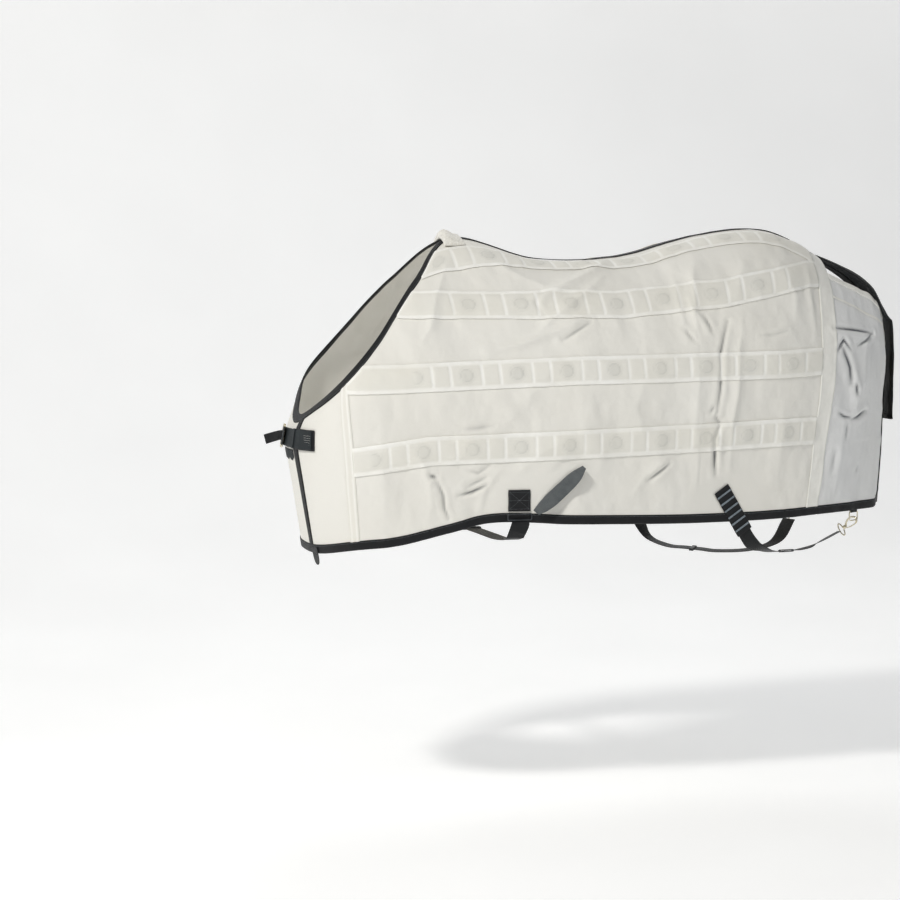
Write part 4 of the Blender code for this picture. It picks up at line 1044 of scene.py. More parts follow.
def v_at_height(s, z):
    points = surf(s, FINE_V)
    return float(np.interp(-z, np.maximum.accumulate(-points[:, 2]), FINE_V))


def v_at_out(s, out):
    vs = np.linspace(0.0, 1.0, 81)
    return float(np.interp(out, surf(s, vs)[:, 1], vs))


def on_side(side, x, z, height=0.0):
    """The form's point and normal on one side, by where it lies along and up.

    A place below the hem hangs straight down from it.
    """
    s = float(np.interp(x, STATIONS[:, 2, 0], np.arange(len(STATIONS))))
    for _ in range(12):
        v = v_at_height(s, z)
        s = min(max(s + (x - surf(s, v)[0]) * 3.5, 2.2), LAST)
    lean = normal(s, v) * (1, side, 1)
    below = np.array((0.0, 0.0, min(z - surf(s, 2.0)[2], 0.0)))
    return surf(s, v) * (1, side, 1) + below + height * lean, lean


def on_chest(run, z, height=0.0):
    """A point and normal on the chest, by its distance from the middle line: minus is the near side."""
    s = float(s_of(arc_of(0.0) + abs(run)))
    v = v_at_height(s, z)
    sign = 1 if run > 0 else -1
    lean = normal(s, v) * (1, sign, 1)
    return surf(s, v) * (1, sign, 1) + height * lean, lean


print("places ready")

# %% [markdown]
# ### Curves and even steps
#
# A strap's route is a few points. A smooth curve goes through them, and even steps along it keep
# the ribs of the weave at one spacing.

# %% Routes
def tangents(points):
    points = np.asarray(points, float)
    ahead = np.vstack([points[1:], points[-1:]])
    behind = np.vstack([points[:1], points[:-1]])
    return unit(ahead - behind)


def curve_through(points, per=4):
    """A smooth curve through all the points, with a number of steps between each two."""
    points = np.asarray(points, float)
    ends = np.vstack([2 * points[0] - points[1], points, 2 * points[-1] - points[-2]])
    found = []
    for k in range(1, len(ends) - 2):
        a, b, c, d = ends[k - 1:k + 3]
        for f in np.linspace(0, 1, per, endpoint=False):
            found.append(0.5 * (2 * b + (c - a) * f + (2 * a - 5 * b + 4 * c - d) * f**2
                                + (3 * b - a - 3 * c + d) * f**3))
    found.append(points[-1])
    return np.array(found)


def along_path(points, *tracks, step=0.004):
    """The path and the values along it, at even distances."""
    points = np.asarray(points, float)
    run = np.concatenate([[0.0], np.cumsum(np.linalg.norm(np.diff(points, axis=0), axis=1))])
    even = np.linspace(0, run[-1], max(3, math.ceil(run[-1] / step) + 1))

    def at(values):
        values = np.asarray(values, float)
        values = values if values.ndim > 1 else values[:, None]
        return np.stack([np.interp(even, run, values[:, k]) for k in range(values.shape[1])], axis=1)

    return [at(points)] + [at(track) for track in tracks]


print("routes ready")

# %% [markdown]
# ### Skins over rings
#
# A curve object with a bevel would also make a tube, but its section can't change along the way.
# Rings of points joined by faces can, and the mesh carries its own map.

# %% Skins
def tube_through(name, rings, uvs, finish, closed=False):
    """A skin over rings of points, capped at its ends unless it closes on itself."""
    rings = np.asarray(rings, float)
    n, m = rings.shape[:2]
    index = np.arange(n * m).reshape(n, m)
    faces = []
    for k in range(n if closed else n - 1):
        a, b = index[k], index[(k + 1) % n]
        for j in range(m):
            i = (j + 1) % m
            faces.append([a[j], a[i], b[i], b[j]])
    if not closed:
        faces += [list(index[0, ::-1]), list(index[-1])]
    faces = [[int(v) for v in face] for face in faces]
    made = object_from(name, rings, faces, uvs, finish)
    outward(made)
    return made


def outward(made):
    """Turns the faces outward, by the sign of the volume that they enclose."""
    mesh = made.data
    mesh.calc_loop_triangles()
    points = np.array([v.co[:] for v in mesh.vertices])
    corners = np.array([t.vertices[:] for t in mesh.loop_triangles])
    a, b, c = (points[corners[:, k]] for k in range(3))
    middle = points.mean(0)
    if np.einsum("ij,ij->i", a - middle, np.cross(b - middle, c - middle)).sum() < 0:
        mesh.flip_normals()


print("skins ready")

# %% [markdown]
# ### Webbing
#
# Webbing is flat, with a thicker woven edge on each side. The section has a slight dip between
# its edges, and a little noise in its width keeps it from looking moulded.

# %% Webbing
def strap(name, points, leans, width, finish, thick=WEB, step=0.003):
    """Flat webbing: a rounded section, with a slight dip between its selvedges."""
    widths = np.broadcast_to(width, (len(points),))
    points, leans, widths = along_path(points, leans, widths, step=step)
    along = tangents(points)
    leans = unit(leans - np.sum(leans * along, axis=1, keepdims=True) * along)
    across = unit(np.cross(leans, along))
    shape = np.array((-1.0, -0.93, -0.80, -0.4, 0.0, 0.4, 0.80, 0.93, 1.0))
    rise = np.array((0.0, 0.85, 1.0, 0.82, 0.8, 0.82, 1.0, 0.85, 0.0))
    run = np.concatenate([[0.0], np.cumsum(np.linalg.norm(np.diff(points, axis=0), axis=1))])
    half = widths / 2
    wave = 1 + 0.012 * lattice_noise(run, run * 0, 0.012, 1.0, 77)[:, None]
    rings, uvs = [], []
    for k in range(len(points)):
        upper = [points[k] + u * half[k] * wave[k] * across[k] + thick / 2 * r * leans[k]
                 for u, r in zip(shape, rise)]
        lower = [points[k] + u * half[k] * wave[k] * across[k] - thick / 2 * r * leans[k]
                 for u, r in zip(shape[-2:0:-1], rise[-2:0:-1])]
        rings.append(upper + lower)
        uvs.append([(run[k], u * half[k][0]) for u in np.concatenate([shape, shape[-2:0:-1]])])
    return tube_through(name, rings, uvs, finish)


print("webbing ready")

# %% [markdown]
# ### Bent wire
#
# The loop, rings and snaps are bent from round steel wire. A wire may thicken and taper along
# its length, as a snap's neck does.

# %% Wire and loops
def wire(name, points, radius, finish, hint, closed=False, sides=16, step=0.0012):
    """A round bar along a path, with one radius or one for each point."""
    radii = np.broadcast_to(radius, (len(points),))
    if closed:
        points = np.vstack([points, points[:1]])
        radii = np.append(radii, radii[0])
    points, radii = along_path(points, radii, step=step)
    along = tangents(points)
    if closed:
        points, radii, along = points[:-1], radii[:-1], along[:-1]
        along[0] = one(points[1] - points[-1])
    a = unit(np.cross(along, np.asarray(hint, float)))
    b = np.cross(along, a)
    turn = np.linspace(0, 2 * math.pi, sides, endpoint=False)
    rings = (points[:, None] + radii[:, None] * (np.cos(turn)[None, :, None] * a[:, None]
             + np.sin(turn)[None, :, None] * b[:, None]))
    run = np.arange(len(points)) * step
    uvs = np.stack(np.broadcast_arrays(run[:, None], turn[None, :] * 0.002), axis=-1)
    return tube_through(name, rings, uvs, finish, closed)


def loop_path(centre, across, up, half_x, half_y, radius, per=10):
    """A closed rounded rectangle, and the direction that it faces."""
    across, up = one(across), one(up)
    path = []
    for cx, cy, turn in ((1, 1, 0), (-1, 1, 90), (-1, -1, 180), (1, -1, 270)):
        for extra in np.linspace(0, 90, per):
            angle = math.radians(turn + extra)
            spoke = math.cos(angle) * across + math.sin(angle) * up
            corner = np.asarray(centre, float) + cx * (half_x - radius) * across + cy * (half_y - radius) * up
            path.append(corner + radius * spoke)
    return np.array(path), np.cross(across, up)


def frame_of_wire(name, centre, across, up, half_x, half_y, radius, thick, finish):
    path, face = loop_path(centre, across, up, half_x, half_y, radius)
    return wire(name, path, thick, finish, closed=True, hint=face)


def around(centre, arm, lean, radius, start, end, steps=9):
    """Points on an arc, where a strap folds round a bar."""
    return [centre + radius * (math.cos(t) * arm + math.sin(t) * lean)
            for t in np.radians(np.linspace(start, end, steps))]


def patch_on_side(name, side, start, end, width, low, finish, steps):
    """A flat patch of webbing sewn on one side, between two places given as (along, up)."""
    found = [on_side(side, x, z, low + WEB / 2) for x, z in
             zip(np.linspace(start[0], end[0], steps), np.linspace(start[1], end[1], steps))]
    return strap(name, [p for p, _ in found], [n for _, n in found], width, finish, WEB, 0.002)


print("strap builders ready")

# %% [markdown]
# ## The chest closure
#
# A web from the near side ends in a metal loop. The narrower billet comes from the off side and
# folds back through the loop. A gathered elastic piece lies under both.

# %% Chest values and bands
LOOP_WIRE = 0.0022
BAR_HEIGHT = WEB_HEIGHT + LOOP_WIRE + 0.0006 + WEB / 2
LOOP_AT, LOOP_HALF, LOOP_TALL = 0.042, 0.014, 0.031
KEEPER_AT = -0.052


def along_chest(runs, heights):
    """Points and outward directions across the chest, at the closure's height."""
    heights = np.broadcast_to(heights, (len(runs),))
    found = [on_chest(run, CHEST_HEIGHT, height) for run, height in zip(runs, heights)]
    return [p for p, _ in found], [n for _, n in found]


def closed_band(name, centre, along, across, up, half_across, half_up, width, thick, finish):
    """A flat band closed round a strap."""
    half_x, half_y = half_across + thick / 2, half_up + thick / 2
    path, _ = loop_path(centre, across, up, half_x, half_y, min(half_y, TIGHTEST_BEND) * 0.98, per=6)
    path = along_path(np.vstack([path, path[:1]]), step=BAND_STEP)[0][:-1]
    middle = path - np.asarray(centre, float)
    steps = np.roll(path, -1, axis=0) - np.roll(path, 1, axis=0)
    inward = unit(np.cross(steps, np.broadcast_to(along, steps.shape)))
    if np.sum(inward * middle) > 0:
        inward = -inward
    shape = ((-1, 0.6), (-0.92, 1), (-0.5, 1), (0, 1), (0.5, 1), (0.92, 1), (1, 0.6), (1, -0.6),
             (0.92, -1), (0, -1), (-0.92, -1), (-1, -0.6))
    rings = [[p + 0.5 * width * u * along - 0.5 * thick * r * n for u, r in shape]
             for p, n in zip(path, inward)]
    uvs = [[(k * BAND_STEP, 0.5 * width * u) for u, _ in shape] for k in range(len(path))]
    return tube_through(name, rings, uvs, finish, closed=True)


print("bands ready")

# %% [markdown]
# ### Chest straps
#
# The web wraps the near bar of the loop, and the billet wraps the far one and stands out. Each
# is swept along its wound route. Bending a flat strip with modifiers would be harder to place.

# %% Chest straps
def chest_closure():
    """The near patch, the metal loop, the web, the billet through the loop and the keeper."""
    low = CLOTH + CLEAR + WEB / 2
    points, leans = along_chest(np.linspace(-0.145, -0.064, 9), np.linspace(low, low + 0.0014, 9))
    seat(strap("chest_patch_web", points, leans, 0.056, black_web), "sheet", "webbing", "chest_patch_near")
    middle, lean = on_chest(LOOP_AT, CHEST_HEIGHT, BAR_HEIGHT)
    down = one(np.cross(lean, np.array((0.0, 1.0, 0.0))))
    along = one(np.cross(down, lean))
    along = -along if along[1] < 0 else along
    up = np.cross(lean, along)
    loop = frame_of_wire("chest_buckle_frame", middle, along, up, LOOP_HALF, LOOP_TALL, 0.006, LOOP_WIRE,
                         steel)
    seat(loop, "sheet", "metal", "chest_loop")
    turn = LOOP_WIRE + 0.0006 + WEB / 2
    bar = middle - LOOP_HALF * along
    runs = np.linspace(-0.136, LOOP_AT - LOOP_HALF - 0.008, 13)
    heights = np.interp(runs, (-0.136, -0.109, -0.082, -0.06),
                        (SEWN_ON_PATCH, SEWN_ON_PATCH, WEB_HEIGHT, WEB_HEIGHT))
    points, leans = along_chest(runs, heights)
    points += around(bar, along, lean, turn, -90, 90)
    points += [bar + turn * lean - 0.012 * along, bar + turn * lean - 0.022 * along]
    leans += [one(np.cross(a, up)) for a in tangents(points)][len(leans):]
    seat(strap("chest_main_web", points, leans, CHEST_WEB_WIDTH, elastic), "sheet", "webbing", "chest_web")
    bar = middle + LOOP_HALF * along
    points, leans = along_chest(np.linspace(0.185, LOOP_AT + LOOP_HALF + 0.008, 9),
                                (SEWN_ON_CLOTH,) * 5 + tuple(np.linspace(SEWN_ON_CLOTH, WEB_HEIGHT, 4)))
    points += around(bar, -along, lean, turn, -90, 90)
    for out, rise in ((0.010, 0.004), (0.020, 0.014), (0.028, 0.027), (0.034, 0.040)):
        points.append(bar + turn * lean + out * along + rise * lean - np.array((0, 0, 0.5 * rise)))
    leans += [-one(np.cross(a, up)) for a in tangents(points)][len(leans):]
    seat(strap("chest_billet_web", points, leans, BILLET_WIDTH, black_web), "sheet", "webbing", "chest_billet")
    keeper, lean = on_chest(KEEPER_AT, CHEST_HEIGHT, WEB_HEIGHT)
    ahead, _ = on_chest(KEEPER_AT + 0.004, CHEST_HEIGHT, WEB_HEIGHT)
    along = one(ahead - keeper)
    up = one(np.cross(lean, along))
    lean = np.cross(along, up)
    band = closed_band("chest_keeper_band", keeper, along, up, lean, CHEST_WEB_WIDTH / 2 + 0.001,
                       WEB / 2 + 0.0009, 0.012, 0.001, elastic)
    seat(band, "chest_keeper", "elastic", "chest_keeper")


print("chest straps ready")

# %% [markdown]
# ### Gathered elastic
#
# The elastic is gathered, so it has upright ribs and a scalloped lower edge. Both are repeated
# sine waves over a small net laid on the chest.

# %% Gathered elastic
def chest_elastic():
    """The gathered elastic under the web, with a scalloped lower edge and upright ribs."""
    runs = np.linspace(-0.034, 0.078, 113)
    f = np.linspace(0, 1, 9)
    low, high, uvs, leans = [], [], [], []
    for run in runs:
        drop = 0.020 + 0.009 * abs(math.sin(math.pi * (run + 0.034) / 0.0373))
        rib = 0.0007 * abs(math.sin(math.pi * (run + 0.034) / 0.0056))
        found = [on_chest(run, -0.566 - drop * t, 0.0014) for t in f]
        low.append([p for p, _ in found])
        leans.append([n for _, n in found])
        high.append(0.0012 + rib * np.sin(math.pi * f) ** 0.5)
        uvs.append([(run, drop * t) for t in f])
    made = shell("chest_elastic_gathered", np.array(low), np.array(leans), 0.0, np.array(high), np.array(uvs),
                 elastic, 1)
    outward(made)
    seat(made, "sheet", "elastic", "chest_elastic")


print("elastic ready")

# %% [markdown]
# ### Front tab
#
# The tab is a short doubled end of webbing with a rounded tip. A strap with a changing width
# makes it.

# %% Front tab
def front_tab():
    """The small rounded tab sewn over the near front corner's hem."""
    ss = columns(arc_of(LAP), arc_of(LAP) + 0.03, 0.01)
    hem = surf(ss, 2.0) * FLIP
    corner = hem[1] + 0.4 * (hem[2] - hem[1])
    across = one(hem[2] - hem[1])
    down = one(corner - surf(ss[1], 1.9) * FLIP)
    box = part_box("front_tab")
    centre = 0.5 * (np.array(box[0]) + np.array(box[1]))
    lean = one(np.cross(across, down))
    lean = lean if lean[0] < 0 else -lean
    tall = (box[1][2] - box[0][2]) / 2
    drops = np.linspace(-tall, tall, 16)
    toward_tip = np.clip((drops + 0.2 * tall) / (1.25 * tall), 0, 1)
    halves = 0.0205 * np.sqrt(np.clip(1 - toward_tip ** 2.6, 0.08, 1))
    points = [centre + d * down for d in drops]
    made = strap("front_tab_web", points, [lean] * len(points), 2 * halves, black_web, 0.0016, 0.002)
    seat(made, "sheet", "webbing", "front_tab")


chest_closure()
chest_elastic()
front_tab()
print("chest closed")

# %% [markdown]
# ## The belly strap
#
# A patch on the near side holds a slotted ring. The strap hangs from it, passes under the belly
# and is sewn on inside the off side.

# %% Belly strap and its ring
BELLY_AT = 0.090
BELLY_LOW = -0.807
BELLY_PATCH_WIDTH = 0.060
BELLY_PATCH_LOW = 0.0032
BELLY_RING_HALF, BELLY_RING_TALL, BELLY_RING_WIRE = 0.0335, 0.008, 0.0020


def belly_strap():
    """The near patch, the ring, the strap under the belly and its slider."""
    patch = patch_on_side("belly_patch_web", -1, (BELLY_AT, -0.664), (BELLY_AT, -0.721),
                          BELLY_PATCH_WIDTH, BELLY_PATCH_LOW, black_web, 9)
    seat(patch, "sheet", "webbing", "belly_patch_near")
    ring, lean = on_side(-1, BELLY_AT, -0.7275, 0.0113)
    across = np.array((1.0, 0.0, 0.0))
    down = one(np.cross(across, lean))
    down = down if down[2] < 0 else -down
    middle = ring + 0.008 * down
    ring_piece = frame_of_wire("belly_ring_moulded", middle, across, down, BELLY_RING_HALF,
                               BELLY_RING_TALL, 0.004, BELLY_RING_WIRE, plastic)
    seat(ring_piece, "belly_ring", "dark_plastic", "belly_ring")
    low = ring + 0.016 * down
    out = low[1] - 0.001
    near_run = [(0.0, out - 0.0008, low[2] - 0.0040), (0.0, out - 0.001, -0.7540),
                (0.7, out + 0.001, -0.776), (1.0, out + 0.010, -0.792)]
    points = [np.array((BELLY_AT - 0.012 * f, y, z)) for f, y, z in near_run]
    x = BELLY_AT - 0.012
    for y, z in ((-0.28, -0.801), (-0.20, BELLY_LOW), (-0.10, BELLY_LOW), (0.0, BELLY_LOW),
                 (0.10, BELLY_LOW), (0.20, BELLY_LOW), (0.28, -0.801)):
        points.append(np.array((x, y, z)))
    points += [np.array((x, 0.325, -0.792)), np.array((x, 0.3415, -0.775))]
    points += [on_side(1, x, z, 0.0085)[0] for z in (-0.745, -0.690)]
    points = np.vstack([points[:3], curve_through(points[3:-1], 4), points[-1:]])
    leans = [one(np.cross(along, (1.0, 0.0, 0.0))) for along in tangents(points)]
    seat(strap("belly_main_web", points, leans, BELLY_WEB_WIDTH, black_web), "sheet", "webbing", "belly_strap")
    sideways, along, up = np.eye(3)
    slider = closed_band("belly_slider_moulded", (x, 0.05, BELLY_LOW), along, sideways, up,
                         BELLY_WEB_WIDTH / 2 + SLIDER_ROOM, WEB / 2 + SLIDER_ROOM, 0.014, 0.0024, plastic)
    seat(slider, "belly_slider", "dark_plastic", "belly_slider")


print("belly strap ready")

# %% [markdown]
# ### The loose end
#
# The free end isn't held, so it twists and bows off the side. Its facing turns along the route,
# and its width narrows to a rounded tip.

# %% Loose end
def loose_end():
    """The strap's free end, lying up the near side and bowed off it."""
    # Each stop: its place along and up, its height, its turn in degrees and its width
    route = ((0.132, -0.724, 0.0060, 62, 0.030), (0.160, -0.702, 0.0075, 36, 0.038),
             (0.200, -0.668, 0.0100, 8, 0.038), (0.238, -0.632, 0.0090, 24, 0.034),
             (0.262, -0.606, 0.0070, 55, 0.016))
    points, faces = [], []
    for x, z, height, turn, _ in route:
        point, lean = on_side(-1, x, z, height + 0.019 * math.sin(math.radians(turn)) * 0.8)
        along = one(np.array((0.8, 0.0, 0.6)) - np.dot((0.8, 0.0, 0.6), lean) * lean)
        side = np.cross(along, lean)
        t = math.radians(turn)
        points.append(point)
        faces.append(math.cos(t) * lean - math.sin(t) * side)
    widths = np.array([stop[4] for stop in route])[:, None]
    both = curve_through(np.hstack([points, faces, widths]), 8)
    # The loose end is black webbing painted grey: painted sheen on the bowed end.
    made = strap("belly_end_web", both[:, :3], both[:, 3:6], both[:, 6], sheen_lit_black_web)
    seat(made, "sheet", "webbing", "belly_loose_end")


belly_strap()
loose_end()
print("belly strap hung")

# %% [markdown]
# ## The leg straps
#
# Each starts at a slanted elastic patch on the side, passes inside the hind leg and snaps to a
# ring under the rear hem.

# %% Leg strap values and hardware
LEG_PATCH = ((0.672, -0.680), (0.748, -0.802))
LEG_PATCH_WIDTH, LEG_PATCH_LOW = 0.050, 0.0046
LEG_RIB_HEIGHT, LEG_RIB_HALF = 0.0071, 0.0235
SLIDER_AT = 18
LEG_START = (0.741, -0.791)
NEAR_ROUTE = ((0.774, 0.304, -0.836), (0.815, 0.292, -0.856), (0.870, 0.238, -0.870),
              (0.910, 0.2087, -0.8733), (0.950, 0.1794, -0.8766), (0.990, 0.1501, -0.8799),
              (1.050, 0.122, -0.872))
OFF_SHIFT = -0.070
OFF_ROUTE = ((0.696, 0.310, -0.847), (0.722, 0.300, -0.888), (0.765, 0.262, -0.908),
             (0.804, 0.230, -0.911), (0.843, 0.198, -0.914), (0.882, 0.166, -0.917),
             (0.960, 0.118, -0.910), (1.040, 0.105, -0.886))
EYE_WIRE, EYE_HALF, EYE_TALL = 0.0018, 0.007, 0.0185
RING_WIRE, RING_HALF, RING_TALL = 0.0018, 0.019, 0.013
TAB_WIDTH, TAB_TALL = 0.026, 0.022


def pivot(body):
    """The rest point that a body's joint turns about."""
    for joint in frame["joints"]:
        if joint["child"] == body:
            return np.array(joint["pos_m"], float)
    raise KeyError(body)


def placed(start, axis, up, points):
    return [start + p * axis + q * up for p, q in points]


def leg_hardware(tag, bar, start, axis):
    """The eye, snap and gate at the strap's end, and the ring and tab under the rear hem."""
    rise = np.array((0.0, 0.0, 1.0))
    cross = one(np.cross(axis, rise))
    up = np.cross(cross, axis)
    eye = start - (EYE_HALF + EYE_WIRE + 0.0006) * axis
    turns = np.radians(np.linspace(14, 346, 40))
    loop = placed(eye, axis, up, [(EYE_HALF * math.cos(t), EYE_TALL * math.sin(t)) for t in turns])
    seat(wire("leg_eye_steel_" + tag, loop, EYE_WIRE, steel, hint=cross), "sheet", "metal", "leg_eye_" + tag)
    hook = ((0.000, 0.0), (0.007, 0.0), (0.009, 0.001), (0.016, 0.0075), (0.026, 0.0115), (0.038, 0.0115),
            (0.048, 0.0065), (0.0515, -0.001), (0.048, -0.0085), (0.041, -0.0115))
    sizes = (0.0052, 0.0052, 0.0036) + (0.0028,) * 6 + (0.0024,)
    fine = curve_through([(p, q, r) for (p, q), r in zip(hook, sizes)], 6)
    snap = wire("leg_snap_steel_" + tag, placed(start, axis, up, fine[:, :2]), fine[:, 2], steel, hint=cross)
    seat(snap, "leg_snap_" + tag, "metal", "leg_snap_" + tag)
    gate = placed(start, axis, up, ((0.0100, -0.0054), (0.020, -0.0094), (0.0375, -0.0114)))
    gate = wire("leg_gate_steel_" + tag, gate, (0.0011, 0.0017, 0.0018), steel, hint=cross)
    seat(gate, "leg_gate_" + tag, "metal", "leg_gate_" + tag)
    wide = one(np.cross(rise, axis))
    ring = frame_of_wire("leg_ring_steel_" + tag, bar - RING_TALL * rise, wide, rise, RING_HALF,
                         RING_TALL, 0.006, RING_WIRE, steel)
    seat(ring, "leg_ring_" + tag, "metal", "leg_ring_" + tag)
    turn = RING_WIRE + 0.0005 + WEB / 2
    face = np.cross(wide, rise)
    points = [bar + turn * face + h * rise for h in (TAB_TALL, 0.004)]
    points += around(bar, face, -rise, turn, 0, 180)
    points += [bar - turn * face + h * rise for h in (0.004, TAB_TALL)]
    leans = [one(np.cross(along, wide)) for along in tangents(points)]
    tab = strap("leg_tab_web_" + tag, points, leans, TAB_WIDTH, black_web, step=0.0015)
    seat(tab, "sheet", "webbing", "leg_tab_" + tag)


print("hardware ready")

# %% [markdown]
# ### The straps
#
# The ribs of the patch are short pale straps laid over it. The main strap turns from lying
# against the side to lying flat under the leg, so its facing is mixed along the route.

# %% Leg straps
def leg_strap(side, shift, route):
    """The ribbed patch, the strap and its slider, then the hardware."""
    tag = tag_of(side)
    start, end = ((x + shift, z) for x, z in LEG_PATCH)
    parts = [patch_on_side("leg_patch_web_" + tag, side, start, end, LEG_PATCH_WIDTH, LEG_PATCH_LOW,
                           black_web, 19)]

    def on_patch(f):
        x, z = (start[k] + f * (end[k] - start[k]) for k in (0, 1))
        return on_side(side, x, z, LEG_RIB_HEIGHT)

    for f in np.linspace(0.12, 0.88, 6):
        middle, lean = on_patch(f)
        ahead, _ = on_patch(f + 0.05)
        across = one(np.cross(lean, ahead - middle))
        points = [middle + t * LEG_RIB_HALF * across for t in np.linspace(-1, 1, 9)]
        parts.append(strap("rib", points, [lean] * 9, 0.0048, pale_elastic, 0.0022, 0.003))
    seat(joined("leg_patch_ribbed_" + tag, parts), "sheet", "webbing", "leg_patch_" + tag)
    bar = pivot("leg_ring_" + tag)
    snap_at = pivot("leg_snap_" + tag)
    axis = one(bar - np.array((0, 0, 2 * RING_TALL)) - snap_at)
    last = snap_at - (2 * EYE_HALF + 2 * EYE_WIRE + 0.0011) * axis
    first = on_side(side, LEG_START[0] + shift, LEG_START[1], 0.0014)[0]
    coarse = curve_through([first] + [np.array(p) * (1, side, 1) for p in route] + [last], 4)
    leans = []
    for k, along in enumerate(tangents(coarse)):
        share = min(k / 9.0, 1.0)
        hint = np.array((0.0, float(side), 0.0)) * (1 - share) + np.array((0.0, 0.15 * side, -1.0)) * share
        leans.append(one(hint - np.dot(hint, along) * along))
    fine = curve_through(np.hstack([coarse, leans]), 3)
    made = strap("leg_main_web_" + tag, fine[:, :3], fine[:, 3:], LEG_WEB_WIDTH, black_web)
    seat(made, "sheet", "webbing", "leg_strap_" + tag)
    along = one(coarse[SLIDER_AT + 1] - coarse[SLIDER_AT - 1])
    lean = one(leans[SLIDER_AT] - np.dot(leans[SLIDER_AT], along) * along)
    across = one(np.cross(lean, along))
    slider = closed_band("leg_slider_moulded_" + tag, coarse[SLIDER_AT], along, across, lean,
                         LEG_WEB_WIDTH / 2 + SLIDER_ROOM, WEB / 2 + SLIDER_ROOM, 0.012, 0.0022, plastic)
    seat(slider, "leg_slider_" + tag, "dark_plastic", "leg_slider_" + tag)
    leg_hardware(tag, bar, snap_at, axis)


leg_strap(-1, 0.0, NEAR_ROUTE)
leg_strap(1, OFF_SHIFT, OFF_ROUTE)
print("leg straps hung")

# %% [markdown]
# ## The tail flap
#
# The flap is one sheet of dark mesh over the dock. It bends at the tail and hangs down behind.
# Its upper rows are read from the form, so that it lies along the rump, and its lower rows are
# set straight down behind the rear edges.

# %% The flap's net
FLAP_LIFT, FLAP_BEND, FLAP_TURN, FLAP_END = 0.0092, 12.4, -0.240, -0.520


def flap_net():
    """The flap's rows of points and normals, from the dock to the lower edge."""
    shares = np.array((-1.0, -0.74, -0.35, 0.0, 0.35, 0.74, 1.0))
    points, leans = [], []
    first = float(s_of(arc_of(MAIN_END) + 0.0012))
    for k, s in enumerate(np.linspace(first, FLAP_BEND, 6)):
        half = 0.040 + 0.004 * k
        lift = FLAP_LIFT * min(k / 3.0, 1.0)
        row = [(abs(f) * half, np.sign(f), normal(s, v_at_out(s, abs(f) * half))) for f in shares]
        points.append([surf(s, v_at_out(s, out)) * (1, 0, 1) + np.array((0, out * sign, 0))
                       + lift * lean * (1, sign, 1) for out, sign, lean in row])
        leans.append([lean * (1, sign, 1) for out, sign, lean in row])
    corner = points[-1][3]
    for k, z in enumerate(list(np.linspace(FLAP_TURN, FLAP_END + REAR_EDGE_WIDTH, 5)) + [FLAP_END]):
        half = 0.062 + 0.003 * k
        x = max(surf(LAST, v_at_height(LAST, z))[0] + FLAP_LIFT + 0.006, corner[0] + 0.012)
        points.append([np.array((x - 0.03 * abs(f) * half, f * half, z)) for f in shares])
        leans.append([one((1.0, 0.3 * f, 0.0)) for f in shares])
    return np.array(points), np.array(leans)


print("flap net ready")

# %% [markdown]
# ### Cloth and binding of the flap
#
# The flap isn't simulated. Its net is smoothed both ways and a little noise makes it hang
# unevenly below the bend.

# %% Flap cloth and binding
def tail_flap():
    """The flap's one sheet of mesh, and the binding round its sides and lower edge."""
    points, leans = flap_net()
    both = np.concatenate([points, leans], axis=2)
    lengthwise = np.array([curve_through(both[:, j], 12) for j in range(both.shape[1])])
    fine = np.array([curve_through(lengthwise[:, i], 8) for i in range(lengthwise.shape[1])])
    base, lean = fine[..., :3], unit(fine[..., 3:])
    n, m = base.shape[:2]
    run = np.concatenate([[0.0], np.cumsum(np.linalg.norm(np.diff(base[:, m // 2], axis=0), axis=1))])
    over = base[..., 1]
    uvs = np.stack(np.broadcast_arrays(run[:, None], over), axis=-1)
    hang = smooth_step(0.05, 0.30, run)[:, None]
    down = run[:, None] + 0 * over
    folds = hang * (0.0030 * lattice_noise(over + 5.0, down, 0.042, 0.20, 12)
                    + 0.0008 * lattice_noise(over, down, 0.016, 0.03, 13))
    surface = base + lean * (CLOTH / 2 + folds)[..., None]
    cloth = object_from("tail_flap_cloth", surface, quads(n, m, 0, True), uvs, dark_mesh)
    seat(cloth, "tail_flap", "dark_mesh", "tail_flap")
    every_row, lowest_rows = slice(0, n), slice(n - 13, n)
    parts = []
    for rows, cols in ((every_row, slice(0, 9)), (every_row, slice(m - 9, m)), (lowest_rows, slice(0, m))):
        part = shell("edge", base[rows, cols], lean[rows, cols], folds[rows, cols] - 0.0012,
                     folds[rows, cols] + CLOTH + CLEAR + TAPE, uvs[rows, cols], black_tape, -1)
        outward(part)
        parts.append(part)
    seat(joined("tail_flap_trim", parts), "tail_flap", "black_binding", "tail_flap_binding")


tail_flap()
print("tail flap hung")

# %% [markdown]
# ## The wither pad
#
# A fleece pad lies over the front end of the top line. It is thickest in its middle and thins
# toward its edges. It starts as a crowned block, slightly small, and is then blown up a little.

# %% The pad
PAD_FRONT, PAD_REAR, PAD_HALF, PAD_THICK, PAD_CLEAR = -0.032, 0.026, 0.052, 0.011, 0.0016
RIB_STEP = 0.240  # from the rib at the withers to the next one, along the body
PRESS_FRAMES = 16
MOST_SWELL = 0.0030


def top_line(x, out=0.0):
    """The form's height at a place along the top line, or a little out from it."""
    s = WITHER + max(x, 0.0) / RIB_STEP
    return surf(s, v_at_out(s, out) if out else 0.0)[2]


